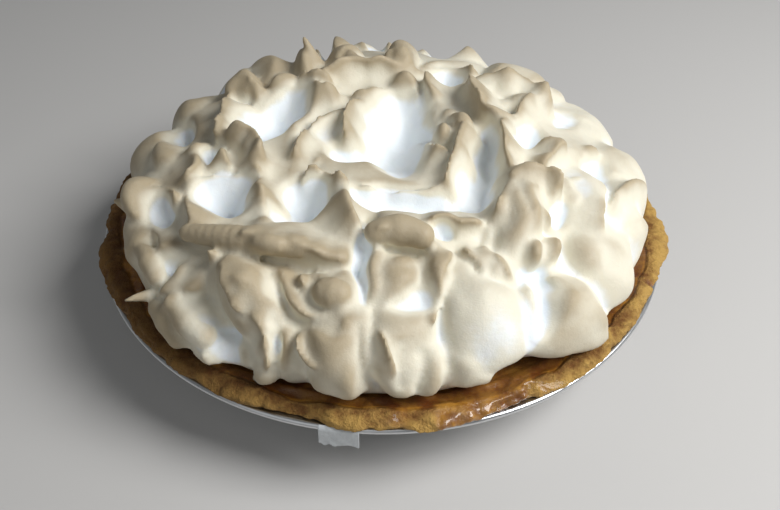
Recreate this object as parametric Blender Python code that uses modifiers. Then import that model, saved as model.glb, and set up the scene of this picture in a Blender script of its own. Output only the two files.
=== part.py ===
"""Lemon meringue pie in its tin, modelled in metres with +Z up.

The origin is the centre of the tin's underside. The front of the pie is -Y.
Five solids: the tin, the pastry crust, the lemon filling that runs through it,
the swirled meringue on top, and a strip of tape over the tin's rim.
"""

import functools
import math

import bmesh
import bpy
import numpy as np

MM = 0.001

# Driving dimensions of the tin, a nine inch pie tin with sloping sides and a rolled edge
TIN_BASE_RADIUS = 92.0 * MM
TIN_MOUTH_RADIUS = 113.0 * MM
TIN_RIM_RADIUS = 122.0 * MM
TIN_DEPTH = 32.0 * MM
TIN_SHEET = 0.7 * MM
TIN_BEAD = 1.3 * MM

# Pastry: how thick it is, and how far its edge stands above the tin's flange
PASTRY = 4.6 * MM
CRUST_RISE = 6.0 * MM
CRUST_EDGE_RADIUS = 121.8 * MM
CRUST_LUMP = 0.9 * MM
CRUST_WANDER = 1.3 * MM
CRUST_DIMPLE = 0.7 * MM

# Filling and meringue levels
FILLING_TOP = 34.6 * MM
MERINGUE_FOOT = 35.0 * MM
MERINGUE_LIFT_OVER_CRUST = 5.6 * MM
DOME_HEIGHT = 40.0 * MM
DOME_RADIUS = 111.0 * MM
DOME_SQUARENESS = 3.7
DOME_UNDULATION = 1.6 * MM
FOOT_TUCK = 3.0 * MM

# Tape over the rim
TAPE_WIDTH = 14.5 * MM
TAPE_DROP = 6.5 * MM
TAPE_SHEET = 0.4 * MM
TAPE_START = 38
TAPE_AZIMUTH = 263.6

GAP = 0.3 * MM
STEPS = 72
CRUST_STEPS = 96
MERINGUE_VOXEL = 1.5 * MM
ROLL_POINTS = 41
WRINKLE_DEPTH = 0.065
MERINGUE_TRIANGLES = 7200

# Places on the meringue are read off a map of its dome: x to the right and y to the back,
# both in millimetres of arc from the top, so that the map's rim is the meringue's foot.
# They are read from one side and above, from this place in millimetres.
MAP_EYE = (3.0, -316.0, 286.0)
SIGHT_ROUNDS = 9

# How strongly folds and basins are carved, against the heights and depths listed.
FOLD_HEIGHT = 1.75
LOBE_HEIGHT = 1.4
SOFT_LOBE = 5.25
FOLD_SPREAD = 1.12
BASIN_DEPTH = 1.3
CREST_RIPPLE = 0.2
CRINKLE = 1.7
MEETING_POWER = 9
UNEVENNESS = 0.14

# Folds drawn up by the spoon, on the dome's map: start x, y, end x, y, bow to the left of the
# way from start to end, height, spread to the sides, roundness of the crest, lean to the left.
FOLDS = {
    "left roll": (-76, -52, -12, -73, 1, 6.6, 2.8, 3.4, -2.0),
    "left basin, west rim": (-81, -24, -74, -51, 0, 5.5, 4.5, 1.8, -1.0),
    "left basin, north rim": (-82, -22, -49, -28, 2, 5.5, 4.0, 1.6, 2.0),
    "left basin, east rim": (-53, -13, -43, -53, 0, 5.0, 3.8, 1.8, 0.8),
    "middle basin, horn": (-33, -32, -27, -17, 1, 6.5, 2.8, 1.0, 1.0),
    "middle basin, north rim": (-28, -22, -12, -27, 1, 5.5, 3.2, 1.4, 1.8),
    "middle basin, east rim": (-13, -26, -5, -61, -3, 6.5, 3.8, 1.6, 1.4),
    "centre roll": (-5, -62, 21, -61, 4, 6.5, 3.6, 3.2, -3.0),
    "centre lip": (14, -53, 41, -52, -1, 5.0, 3.0, 1.2, -1.4),
    "east channel, lower rim": (40, -53, 51, -18, -1, 6.5, 3.6, 1.6, 1.6),
    "east channel, upper rim": (51, -20, 49, 17, -1, 7.0, 4.2, 1.8, 2.0),
    "north east fold": (49, 14, 40, 66, 2, 8.0, 4.4, 1.8, 2.6),
    "drapes, crest": (51, -13, 80, -19, 2, 8.4, 3.6, 1.4, 2.2),
    "drapes, east fold": (62, -22, 68, -44, -2, 7.4, 2.4, 1.0, -1.2),
    "central basin, east rim": (35, 18, 24, -29, 1, 6.5, 4.2, 1.6, -1.6),
    "central basin, south rim": (26, -28, -13, -29, 10, 4.2, 2.0, 0.8, -0.6),
    "central basin, spur": (11, -3, 28, -12, 2, 4.5, 2.6, 1.0, 1.4),
    "upper divider": (-17, 27, -39, -8, -2, 5.5, 3.0, 1.0, -1.4),
    "upper east wall": (-12, 40, -17, -3, -2, 6.0, 3.0, 1.2, -2.0),
    "upper brow": (-14, 38, 9, 35, 2, 3.6, 4.0, 1.8, 1.4),
    "north ear": (-27, 62, -12, 76, 4, 4.6, 3.0, 1.0, 2.0),
    "north ear, second": (-12, 76, -8, 58, 2, 4.0, 3.0, 1.0, 1.6),
    "north knuckle": (-2, 70, 12, 76, 3, 5.0, 3.0, 1.0, 1.6),
    "north west crest": (-76, 44, -58, 52, 2, 5.5, 3.2, 1.0, 1.8),
    "back east crest": (20, 64, 46, 64, 2, 3.6, 3.2, 1.0, 1.6),
    "north west brow": (-56, 37, -21, 44, 2, 5.0, 4.2, 1.8, 1.6),
    "north west brow, second": (-44, 48, -26, 56, 2, 5.5, 3.6, 1.4, 1.6),
    "north brow": (-34, 60, 12, 66, 4, 6.0, 5.0, 2.2, -1.6),
    "north spur": (4, 52, 16, 38, 2, 5.0, 3.2, 1.2, 1.4),
    "north spur, second": (20, 60, 22, 36, -2, 5.0, 3.2, 1.2, -1.2),
    "north east crest": (44, 62, 82, 48, 5, 6.5, 5.0, 2.2, 2.4),
    "east brow": (60, 24, 72, 44, 3, 5.0, 3.6, 1.6, 1.6),
    "east crumb crest": (66, 3, 79, 9, 1, 4.0, 2.6, 1.0, 1.0),
    "east ridge": (84, 9, 66, -17, -3, 5.0, 3.6, 1.6, 1.4),
    "east skyline": (96, -30, 126, 12, 3, 5.0, 5.0, 2.0, 1.6),
    "east shoulder": (98, -10, 92, -50, -4, 4.0, 5.0, 2.0, 1.4),
    "west brow": (-74, 44, -74, 2, 1, 5.5, 4.0, 1.6, -1.4),
    "west window, west rim": (-74, 2, -82, -22, 1, 4.5, 3.0, 1.2, 1.0),
    "west window, east rim": (-72, 2, -62, -22, 1, 4.5, 2.8, 1.0, 1.0),
    "west knuckle": (-69, 13, -50, -12, 5, 6.5, 4.0, 1.6, 1.6),
    "west shelf": (-112, -13, -84, -28, 2, 4.5, 4.2, 1.8, 2.0),
    "west band": (-94, -28, -92, -48, -4, 4.5, 3.2, 1.4, -1.2),
    "west slope crest": (-96, -46, -78, -72, 2, 4.0, 4.0, 2.0, 1.0),
    "south west brow": (-102, -73, -72, -80, 2, 5.0, 3.8, 1.6, -1.2),
    "south west fold": (-88, -78, -72, -99, -2, 5.0, 3.4, 1.6, -1.6),
    "flame, tail": (-41, -98, -49, -121, 2, 6.5, 3.6, 1.6, 1.8),
    "flame, lower edge": (-63, -67, -41, -100, -6, 7.2, 3.4, 1.6, -1.6),
    "flame, upper edge": (-63, -67, -47, -79, -1, 6.4, 2.8, 1.4, 1.0),
    "under the left roll": (-62, -64, -33, -85, -1, 4.6, 3.0, 1.6, -1.0),
    "front curl": (-37, -75, -10, -98, -9, 4.4, 2.4, 1.0, -1.0),
    "front curl, inner": (-30, -77, -23, -90, -1, 4.6, 2.0, 0.9, -0.6),
    "spout": (28, -66, 20, -102, -2, 5.0, 3.0, 1.2, 1.2),
    "front lobe, west lip": (-32, -101, -24, -120, -2, 6.9, 2.3, 0.9, -0.5),
    "pleat, crest": (0, -99, 9, -125, 2, 7.4, 2.0, 0.8, 1.2),
    "fan, first crest": (29, -66, 39, -79, 1, 5.0, 2.6, 1.2, -1.0),
    "fan, second crest": (37, -62, 49, -79, 1, 5.5, 2.8, 1.2, -1.0),
    "south east lobe, west edge": (63, -72, 66, -100, -1, 5.0, 4.0, 2.0, -1.4),
}

# Rolls that lie on the dome, with rounded ends: start x, y, end x, y, bow to the left,
# height of the middle line above the dome, radius at start, middle and end, cross wrinkles.
ROLLS = {
    "left roll": (-76, -53, -30, -67, -1, 7.0, 3.4, 5.2, 4.4, 13),
    "knob": (-45, -63, -38, -65, 0, 10.6, 3.4, 3.9, 3.2, 0),
    "centre roll": (-2, -61, 15, -62, 2, 6.6, 4.4, 6.2, 5.0, 0),
    "front ball": (-19, -87, -15, -88, 0, 5.6, 5.4, 6.2, 5.6, 0),
    "almond": (-102, -51, -93, -67, 1, 5.0, 3.2, 5.0, 3.8, 0),
    "south west curl": (-86, -80, -73, -98, -2, 6.6, 3.4, 5.2, 4.6, 0),
    "west foot curl": (-98, -78, -90, -94, 1, 5.0, 4.0, 5.6, 4.6, 0),
    "flame, tail": (-43, -102, -48, -119, 2, 1.2, 2.6, 4.8, 4.0, 3),
    "foot knob": (35, -114, 42, -115, 0, 2.6, 4.0, 4.6, 3.4, 0),
}

# Basins that the spoon pressed: centre x, y, half sizes, turn in degrees, depth.
BASINS = (
    (5, -2, 18, 37, 4, 12.0),
    (12, 20, 12, 18, -24, 4.0),
    (-13, -15, 14, 10, -10, 8.0),
    (41, -20, 7, 32, -6, 5.5),
    (33, -38, 12, 15, 10, 5.5),
    (9, -46, 30, 9.5, 2, 7.5),
    (-61, -41, 17, 14, -22, 11.5),
    (-29, -45, 13, 16, 10, 10.0),
    (-38, -53, 16, 6, -8, 5.0),
    (-46, 14, 15, 28, -28, 10.5),
    (-27, -1, 11, 22, -20, 4.6),
    (28, 46, 11, 14, 0, 8.0),
    (-71, -13, 8, 10, 0, 6.0),
    (-88, -42, 7, 16, 12, 6.0),
    (-90, 14, 9, 20, 25, 6.0),
    (-64, 28, 7, 14, 0, 4.5),
    (59, -2, 9, 14, -15, 6.0),
    (88, -15, 8, 16, 0, 5.5),
    (-7, -77, 4, 20, 0, 4.0),
    (14, -91, 9, 7, 15, 2.6),
    (-65, -92, 6, 13, 25, 5.0),
    (-80, -68, 8, 8, 10, 3.6),
    (-20, -99, 13, 2.4, -14, 1.8),
    (-55, -104, 7, 10, 20, 5.0),
    (-36, -103, 3.6, 12, -8, 4.0),
    (-36, -86, 4, 10, 32, 4.0),
    (58, -84, 6, 15, -4, 4.5),
    (23, -62, 5, 5, 0, 4.0),
    (67, -47, 5, 8, -20, 5.5),
    (-84, 62, 22, 20, 38, 8.0),
    (-51, 84, 10, 27, 12, 10.0),
    (-30, 88, 5, 20, 4, 9.0),
    (-5, 94, 6, 16, 0, 8.0),
    (30, 90, 13, 20, 0, 9.0),
    (-8, 56, 10, 10, 0, 5.0),
    (80, 26, 7, 16, -30, 3.0),
)

# Lobes pushed out by the spoon: centre x, y, half sizes, turn in degrees, rise.
LOBES = (
    (-52, -83, 22, 12, -50, 8.8),
    (-45, -86, 10, 10, 0, 7.5),
    (-16, -87, 12, 14, 0, 6.0),
    (-3, -77, 7, 19, -3, 5.0),
    (8, -81, 14, 19, 0, 4.9),
    (21, -77, 7, 18, 6, 6.0),
    (31, -82, 9, 18, 0, 5.5),
    (-15, -112, 17, 20, 0, 8.5),
    (-34, -108, 9, 15, 8, 5.0),
    (9, -101, 14, 10, 0, 6.2),
    (4, -112, 9, 19, 8, 7.0),
    (12, -116, 6.5, 14, 0, 5.5),
    (21, -115, 7, 14, 0, 5.5),
    (35, -113, 14, 12, 0, 6.0),
    (42, -94, 22, 20, 0, 8.5),
    (40, -71, 10, 8, -40, 6.0),
    (84, -86, 24, 18, 18, 10.0),
    (54, -41, 13, 27, -8, 9.0),
    (67, -57, 5, 7, 0, 8.0),
    (59, -62, 5, 6, 0, 7.0),
    (102, -50, 17, 20, 25, 5.3),
    (84, -56, 10, 12, 0, 5.5),
    (117, -24, 17, 18, 0, 5.2),
    (121, 14, 20, 26, 0, 5.2),
    (106, 50, 22, 24, 0, 4.6),
    (66, 74, 16, 15, 10, 6.0),
    (62, 38, 12, 9, 20, 5.5),
    (54, 10, 7, 8, 0, 6.0),
    (-86, -59, 9, 17, 32, 5.0),
    (-110, -42, 12, 26, 22, 5.0),
    (-97, -85, 10, 14, 35, 8.0),
    (-78, -88, 8, 15, 30, 9.0),
    (-70, -106, 16, 7, -18, 6.0),
    (-62, -74, 8, 9, 0, 4.0),
    (-112, 26, 19, 22, 0, 5.0),
    (-113, -13, 10, 13, 20, 7.0),
    (-100, 8, 9, 16, 20, 5.0),
    (-39, 74, 7, 16, 8, 6.5),
    (-18, 80, 12, 16, 8, 8.0),
    (8, 84, 9, 16, 0, 8.5),
    (34, 12, 7, 9, 10, 6.5),
    (25, 6, 6, 8, 20, 5.5),
    (-62, 4, 7, 9, 0, 6.5),
    (-56, -6, 6, 7, 0, 6.0),
    (-66, 50, 9, 10, 0, 8.0),
    (-46, 46, 8, 8, 0, 6.0),
    (-33, 52, 7, 7, 0, 6.5),
    (10, 52, 8, 9, 0, 5.5),
)

# Lobes round the back wall, which repeat by a rule: how many, and the mean half width.
BACK_LOBES = 9
BACK_LOBE_WIDTH = 17.0

# Small bumps on the masses: centre x, y, half sizes, turn in degrees, rise.
BUMPS = (
    (8, -74, 3.0, 2.6, 0, 1.3),
    (28, 14, 4.0, 5.0, 0, 2.4),
    (31, 3, 3.4, 4.4, 10, 2.2),
    (22, 1, 3.0, 4.0, 20, 1.8),
    (-60, 9, 4.0, 4.4, 0, 2.2),
    (-65, 3, 3.4, 4.0, 0, 1.8),
    (-54, -9, 3.0, 4.0, 20, 2.0),
    (72, -26, 4.0, 4.4, 0, 2.2),
    (66, -25, 3.0, 4.0, 30, 1.8),
    (75, -33, 3.0, 3.6, 0, 1.8),
    (90, 3, 3.4, 4.0, 0, 2.4),
    (-41, -99, 3.0, 3.0, 0, 2.2),
    (-38, -101, 2.2, 2.4, 0, 1.8),
    (-43, -102, 2.0, 2.2, 0, 1.4),
    (-64, 54, 5.0, 6.0, 10, 2.4),
    (-48, 48, 4.4, 5.0, 0, 2.2),
    (12, 57, 4.4, 5.0, 0, 2.0),
    (44, -76, 3.6, 3.0, 0, 1.6),
    (-103, -49, 3.0, 3.0, 0, 1.6),
)

# Grooves cut into the masses, in the folds' terms, with depth in place of height.
GROOVES = {
    "flame, crease": (-55, -79, -47, -90, -3, 2.0, 1.3, 0.6, 0),
    "pleat, first crease": (8, -104, 10, -127, 0, 2.4, 1.4, 0.6, 0),
    "pleat, second crease": (15, -107, 16, -126, 0, 2.0, 1.4, 0.6, 0),
    "ruffle, crease": (26, -110, 28, -122, 1, 2.4, 1.6, 0.6, 0),
    "front ball, crease": (-25, -82, -13, -98, -4, 3.0, 1.6, 0.6, 0),
    "drapes, west crease": (43, -48, 42, -67, 1, 3.4, 1.8, 0.6, 0),
    "drapes, middle crease": (55, -24, 51, -72, 1, 2.2, 1.5, 0.6, 0),
    "drapes, east crease": (62, -30, 60, -70, 2, 3.4, 2.0, 0.7, 0),
    "drapes, faint crease": (48, -24, 47, -56, 0, 1.4, 1.3, 0.6, 0),
    "almond, crease": (-101, -44, -90, -70, 2, 3.4, 1.6, 0.6, 0),
    "south west crease": (-92, -80, -70, -100, -3, 6.0, 2.4, 0.6, 0),
    "south west crease, second": (-84, -78, -66, -84, 1, 3.0, 1.8, 0.6, 0),
    "keyhole, crease": (16, -66, 10, -88, 3, 3.2, 1.5, 0.6, 0),
    "front lobe, east crease": (-8, -97, 2, -126, -2, 3.0, 1.6, 0.6, 0),
    "centre roll, crease": (-3, -66, 18, -67, -1, 3.0, 1.6, 0.6, 0),
    "left roll, crease": (-62, -64, -14, -79, 0, 2.6, 1.6, 0.6, 0),
    "tail, crease": (-44, -104, -55, -120, 1, 2.4, 1.5, 0.6, 0),
    "apron, west crease": (24, -78, 22, -106, 0, 2.4, 1.6, 0.6, 0),
    "south east lobe, crease": (62, -72, 61, -103, 0, 3.0, 1.8, 0.6, 0),
    "front lobes, crease": (-31, -100, -37, -122, 1, 2.4, 1.6, 0.6, 0),
    "north west crease": (-62, 40, -56, 22, 0, 3.0, 1.6, 0.6, 0),
    "back hump, crease": (-22, 70, -6, 62, 2, 2.6, 1.8, 0.6, 0),
    "north east crease": (50, 46, 60, 24, 2, 2.0, 2.0, 0.8, 0),
}

# Short wrinkles side by side across the left roll: how many, first and last middle, half length, depth.
WRINKLES = 7
WRINKLE_FIRST = (-69, -54)
WRINKLE_LAST = (-53, -61)
WRINKLE_HALF_LENGTH = 3.6
WRINKLE_CUT = 2.0

# Where the foot draws back from the crust or, below nought, spreads over it: azimuth and half
# width in degrees, depth.
FOOT_BAYS = (
    (298, 9, 6.0),
    (272, 10, 1.0),
    (256, 4, 3.0),
    (250, 3, 5.0),
    (242, 4, 2.0),
    (316, 9, -4.0),
    (231, 7, -4.0),
    (214, 10, -3.0),
)
FOOT_BAY_RISE = 15 * MM

# Peaks drawn up by the spoon: foot x, y, length, thickness, heading in degrees, droop in degrees.
PEAKS = {
    "side spike": (-96, -72, 11, 5.0, 206, 58),
    "twisted knob": (-113, -20, 4, 6.0, 160, 30),
    "hook": (-34, 66, 11, 6.5, 150, 18),
    "horn tip": (-28, -19, 3, 3.6, 60, 40),
    "flame tip": (-61, -70, 7, 6.0, 110, 15),
    "drape tip": (76, -23, 3, 4.4, 20, 50),
}


def clear_scene():
    for thing in list(bpy.data.objects):
        bpy.data.objects.remove(thing, do_unlink=True)


def new_collection(name):
    made = bpy.data.collections.new(name)
    bpy.context.scene.collection.children.link(made)
    return made


def finish(name, colour, roughness, metallic=0.0):
    """A Principled material in one colour."""
    made = bpy.data.materials.new(name)
    made.use_nodes = True
    shader = made.node_tree.nodes["Principled BSDF"]
    shader.inputs["Base Color"].default_value = (*colour, 1.0)
    shader.inputs["Roughness"].default_value = roughness
    shader.inputs["Metallic"].default_value = metallic
    return made


def add_object(name, mesh, collection, material):
    thing = bpy.data.objects.new(name, mesh)
    collection.objects.link(thing)
    mesh.materials.append(material)
    mesh.shade_smooth()
    return thing


def turned(name, profile, collection, material, steps=STEPS):
    """Turns a profile of (radius, height) pairs, which starts and ends on the axis, about Z."""
    mesh = bpy.data.meshes.new(name)
    points = [(radius, 0.0, height) for radius, height in profile]
    mesh.from_pydata(points, [(i, i + 1) for i in range(len(points) - 1)], [])
    thing = add_object(name, mesh, collection, material)
    screw = thing.modifiers.new("Turn", "SCREW")
    screw.angle = 2 * math.pi
    screw.steps = screw.render_steps = steps
    screw.use_merge_vertices = True
    screw.merge_threshold = 0.01 * MM
    return thing


def applied(thing):
    """Replaces the object's mesh with its evaluated one, modifiers included."""
    graph = bpy.context.evaluated_depsgraph_get()
    mesh = bpy.data.meshes.new_from_object(thing.evaluated_get(graph))
    thing.modifiers.clear()
    thing.data = mesh
    mesh.shade_smooth()
    return thing


def points_of(mesh):
    flat = np.empty(len(mesh.vertices) * 3, np.float32)
    mesh.vertices.foreach_get("co", flat)
    return flat.reshape(-1, 3).astype(float)


def set_points(mesh, points):
    mesh.vertices.foreach_set("co", points.astype(np.float32).ravel())
    mesh.update()


def smooth_step(value):
    t = np.clip(value, 0.0, 1.0)
    return t * t * (3 - 2 * t)


def noise(x, y, cell, seed):
    """Smooth noise from -1 to 1: random values on a square lattice of that cell, blended between."""
    lattice = np.random.default_rng(seed).uniform(-1, 1, (64, 64))
    u = x / cell
    v = y / cell
    column = np.floor(u).astype(int)
    row = np.floor(v).astype(int)
    across = smooth_step(u - column)
    along = smooth_step(v - row)

    def at(i, j):
        return lattice[(row + j) % 64, (column + i) % 64]

    near = at(0, 0) * (1 - across) + at(1, 0) * across
    far = at(0, 1) * (1 - across) + at(1, 1) * across
    return near * (1 - along) + far * along


def ring_noise(angle, waves, seed):
    """A periodic wave round the pie, from -1 to 1, summed from a few seeded harmonics."""
    draw = np.random.default_rng(seed)
    total = np.zeros_like(angle)
    for wave in waves:
        total += np.cos(wave * angle + draw.uniform(0, 2 * np.pi))
    return total / len(waves)


# The tin and the tape


def arc(centre, radius, first, last, count):
    """Points of an arc in the profile's plane, from the first to the last angle in degrees."""
    angles = np.radians(np.linspace(first, last, count))
    return [(centre[0] + radius * math.cos(a), centre[1] + radius * math.sin(a)) for a in angles]


def bead_centre():
    return TIN_RIM_RADIUS - TIN_BEAD, TIN_DEPTH - 0.1 * MM


def make_tin(collection):
    slope = math.atan2(TIN_MOUTH_RADIUS - TIN_BASE_RADIUS, TIN_DEPTH)
    sheet_across = TIN_SHEET / math.cos(slope)
    corner = 2.5 * MM
    flange_top = TIN_DEPTH + TIN_SHEET / 2
    inner = [
        (0, TIN_SHEET),
        (TIN_BASE_RADIUS - corner, TIN_SHEET),
        (TIN_BASE_RADIUS + 0.6 * MM, TIN_SHEET + corner * 0.7),
        (TIN_MOUTH_RADIUS - sheet_across - 0.4 * MM, TIN_DEPTH - 1.4 * MM),
        (TIN_MOUTH_RADIUS + 1.2 * MM, flange_top),
    ]
    bead = arc(bead_centre(), TIN_BEAD, 128, -150, 9)
    outer = [
        (TIN_MOUTH_RADIUS + 1.8 * MM, flange_top - TIN_SHEET),
        (TIN_MOUTH_RADIUS + 0.2 * MM, TIN_DEPTH - 1.9 * MM),
        (TIN_BASE_RADIUS + 1.4 * MM, corner * 0.7),
        (TIN_BASE_RADIUS - corner * 0.8, 0),
        (0, 0),
    ]
    material = finish("tin", (0.62, 0.64, 0.66), 0.28, 1.0)
    return applied(turned("tin", inner + bead + outer, collection, material))


def make_tape(collection):
    """A short strip over the rolled edge: its section is drawn flat and extruded to the strip's width."""
    centre = bead_centre()
    clear = TIN_BEAD + GAP
    start, drop_x = TAPE_START, centre[0] + clear
    outer = arc(centre, clear + TAPE_SHEET, start, 0, 7)
    inner = arc(centre, clear, 0, start, 7)
    outline = [
        *outer,
        (drop_x + TAPE_SHEET + 0.2 * MM, centre[1] - TAPE_DROP),
        (drop_x + 0.2 * MM, centre[1] - TAPE_DROP),
        *inner,
    ]
    curve = bpy.data.curves.new("tape_tab", "CURVE")
    curve.dimensions = "2D"
    curve.fill_mode = "BOTH"
    curve.extrude = TAPE_WIDTH / 2
    spline = curve.splines.new("POLY")
    spline.points.add(len(outline) - 1)
    for point, (radius, height) in zip(spline.points, outline):
        point.co = (radius, height, 0.0, 1.0)
    spline.use_cyclic_u = True
    curve.materials.append(finish("tape", (0.55, 0.57, 0.56), 0.45))
    thing = bpy.data.objects.new("tape_tab", curve)
    thing.rotation_euler = (math.pi / 2, 0.0, math.radians(TAPE_AZIMUTH))
    collection.objects.link(thing)
    return thing


# The crust and the filling


def tin_wall(height, inside):
    """Radius of the tin's inner wall at a height, less a distance measured level."""
    low = (TIN_BASE_RADIUS + 0.6 * MM, TIN_SHEET + 1.75 * MM)
    high = (TIN_MOUTH_RADIUS - 1.24 * MM, TIN_DEPTH - 1.4 * MM)
    share = (height - low[1]) / (high[1] - low[1])
    return low[0] + share * (high[0] - low[0]) - inside


def crust_profile():
    """Section of the pastry: inside floor and wall, over the edge, and back along the tin."""
    floor = TIN_SHEET + GAP
    top = TIN_DEPTH + CRUST_RISE
    edge = CRUST_EDGE_RADIUS
    inside = [
        (0, floor + PASTRY),
        (TIN_BASE_RADIUS - 5.0 * MM, floor + PASTRY),
        (tin_wall(9 * MM, PASTRY + 1.2 * MM), 9 * MM),
        (tin_wall(30 * MM, PASTRY + 1.6 * MM), 30.5 * MM),
        (edge - 13.0 * MM, top - 4.2 * MM),
        (edge - 9.4 * MM, top - 1.4 * MM),
        (edge - 5.6 * MM, top),
        (edge - 2.2 * MM, top - 0.8 * MM),
        (edge - 0.3 * MM, top - 2.6 * MM),
        (edge, TIN_DEPTH + 1.9 * MM),
    ]
    under = [
        (edge - 2.2 * MM, TIN_DEPTH + 1.6 * MM),
        (TIN_MOUTH_RADIUS + 1.0 * MM, TIN_DEPTH + 0.75 * MM),
        (tin_wall(30.6 * MM, GAP + 0.05 * MM), 30.6 * MM),
        (tin_wall(2.45 * MM, GAP + 0.05 * MM), 2.6 * MM),
        (TIN_BASE_RADIUS - 3.0 * MM, floor),
        (0, floor),
    ]
    return inside + under


# Named lumps and notches of the crust's edge: azimuth in degrees, half width, and how far out.
EDGE_LUMPS = (
    (350, 7, 3.6),
    (282, 6, 2.6),
    (257, 4, -2.4),
    (292, 5, -1.4),
    (330, 8, -1.0),
    (200, 9, 1.2),
)


def edge_wander(angle):
    """How far the crust's edge strays outwards at each angle round the pie."""
    out = CRUST_WANDER * ring_noise(angle, (7, 11, 17, 23, 31), 5)
    for azimuth, width, reach in EDGE_LUMPS:
        turn = (np.degrees(angle) - azimuth + 180) % 360 - 180
        out += reach * MM * np.exp(-((turn / width) ** 2))
    return out


def make_crust(collection):
    material = finish("crust", (0.55, 0.36, 0.16), 0.6)
    crust = turned("crust", crust_profile(), collection, material, CRUST_STEPS)
    mesh = applied(crust).data
    points = points_of(mesh)
    radius = np.hypot(points[:, 0], points[:, 1])
    angle = np.arctan2(points[:, 1], points[:, 0])
    edge_share = smooth_step((radius - (TIN_MOUTH_RADIUS + 2 * MM)) / (5 * MM))
    top_share = smooth_step((points[:, 2] - TIN_DEPTH - 2.6 * MM) / (2 * MM))
    top_share *= smooth_step((radius - CRUST_EDGE_RADIUS + 11 * MM) / (4 * MM))
    new_radius = radius + edge_share * edge_wander(angle)
    scale = new_radius / np.maximum(radius, 1e-9)
    points[:, :2] *= scale[:, None]
    points[:, 2] += top_share * CRUST_LUMP * ring_noise(angle, (9, 14, 21, 29), 11)
    dimple = noise(points[:, 0] / MM, points[:, 1] / MM, 7, 12)
    points[:, 2] += top_share * CRUST_DIMPLE * dimple
    set_points(mesh, points)
    return crust


def make_filling(collection):
    floor = TIN_SHEET + GAP + PASTRY + GAP
    edge = CRUST_EDGE_RADIUS
    profile = [
        (0, FILLING_TOP),
        (edge - 17.0 * MM, FILLING_TOP),
        (edge - 13.9 * MM, TIN_DEPTH + CRUST_RISE - 4.7 * MM),
        (tin_wall(30 * MM, PASTRY + 2.2 * MM), 30.3 * MM),
        (tin_wall(9 * MM, PASTRY + 1.8 * MM), 9.4 * MM),
        (TIN_BASE_RADIUS - 5.6 * MM, floor),
        (0, floor),
    ]
    return applied(turned("filling", profile, collection, finish("filling", (0.62, 0.33, 0.07), 0.2)))


# The meringue


@functools.lru_cache(maxsize=None)
def dome_section():
    """Radius, height and arc length down the dome, a rounded box section, from its top to its foot."""
    turn = np.linspace(0, np.pi / 2, 1500)
    radius = DOME_RADIUS * np.sin(turn) ** (2 / DOME_SQUARENESS)
    height = DOME_HEIGHT * np.cos(turn)
    arc_length = np.concatenate([[0], np.cumsum(np.hypot(np.diff(radius), np.diff(height)))])
    return radius, height, arc_length


def underside(radius):
    """Height of the meringue's underside: flat on the filling, then lifted over the crust's edge."""
    over = smooth_step((radius - 105 * MM) / (9 * MM))
    return MERINGUE_FOOT + MERINGUE_LIFT_OVER_CRUST * over


def dome_frame(x, y):
    """At map points: radius and height on the dome in millimetres, the unit vector away from
    the middle, and the outward and upward shares of the dome's normal."""
    radius, height, arc_length = (values / MM for values in dome_section())
    reach = np.hypot(x, y)
    away_x = x / np.maximum(reach, 1e-6)
    away_y = y / np.maximum(reach, 1e-6)
    down = np.clip(reach, 0, arc_length[-1])
    step = 0.5
    run = np.interp(down + step, arc_length, radius) - np.interp(down - step, arc_length, radius)
    drop = np.interp(down + step, arc_length, height) - np.interp(down - step, arc_length, height)
    size = np.maximum(np.hypot(run, drop), 1e-9)
    out = -drop / size
    up = run / size
    r = np.interp(down, arc_length, radius)
    z = np.interp(down, arc_length, height)
    return r, z, away_x, away_y, out, up


def settled(x, y, rise):
    """Where a place belongs that reads at (x, y) on the map but stands that far above the dome.

    The eye's line of sight to it meets the bare dome beyond it, so what stands high reads too far
    back. The place is moved back along the dome by rise times the slant of that line.
    """
    x = np.asarray(x, float)
    y = np.asarray(y, float)
    r, z, away_x, away_y, out, up = dome_frame(x, y)
    sight_x = r * away_x - MAP_EYE[0]
    sight_y = r * away_y - MAP_EYE[1]
    sight_z = z + MERINGUE_FOOT / MM - MAP_EYE[2]
    level = sight_x * away_x + sight_y * away_y
    around = sight_y * away_x - sight_x * away_y
    facing = level * out + sight_z * up
    facing = np.minimum(facing, -0.45 * np.sqrt(sight_x**2 + sight_y**2 + sight_z**2))
    along = rise * (level * up - sight_z * out) / facing
    turned_by = rise * around / facing * np.hypot(x, y) / np.maximum(r, 1.0)
    return x + along * away_x - turned_by * away_y, y + along * away_y + turned_by * away_x


def strayed(x, y):
    """Map points moved by slow noise, which makes every outline wander."""
    wander_x = 2.3 * noise(x, y, 19, 31) + 1.1 * noise(x, y, 8, 32)
    wander_y = 2.3 * noise(x, y, 19, 33) + 1.1 * noise(x, y, 8, 34)
    return x + wander_x, y + wander_y


def ground(x, y):
    """Height above the dome, in millimetres, of the undulating dome with its basins."""
    height = DOME_UNDULATION / MM * noise(x, y, 34, 35)
    height += CRINKLE * (0.5 - 1.4 * np.abs(noise(x, y, 15, 36)))
    for basin in BASINS:
        share = ellipse_share(x, y, *basin_centre(basin), *basin[2:5])
        height -= BASIN_DEPTH * basin[5] * np.clip(1 - share**2, 0, 1) ** 1.4
    return height


@functools.lru_cache(maxsize=None)
def basin_centre(basin):
    """The place of a basin's centre on the map."""
    centre_x, centre_y = strayed(*settled(basin[0], basin[1], -0.25 * BASIN_DEPTH * basin[5]))
    return float(centre_x), float(centre_y)


def stood(x, y, height):
    """Where a thing that reads at (x, y) and stands that far above the ground belongs."""
    x = np.atleast_1d(np.asarray(x, float))
    y = np.atleast_1d(np.asarray(y, float))
    place = np.stack(settled(x, y, height))
    for _ in range(SIGHT_ROUNDS):
        place = (place + np.stack(settled(x, y, height + ground(*strayed(*place))))) / 2
    return strayed(*place)


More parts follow.
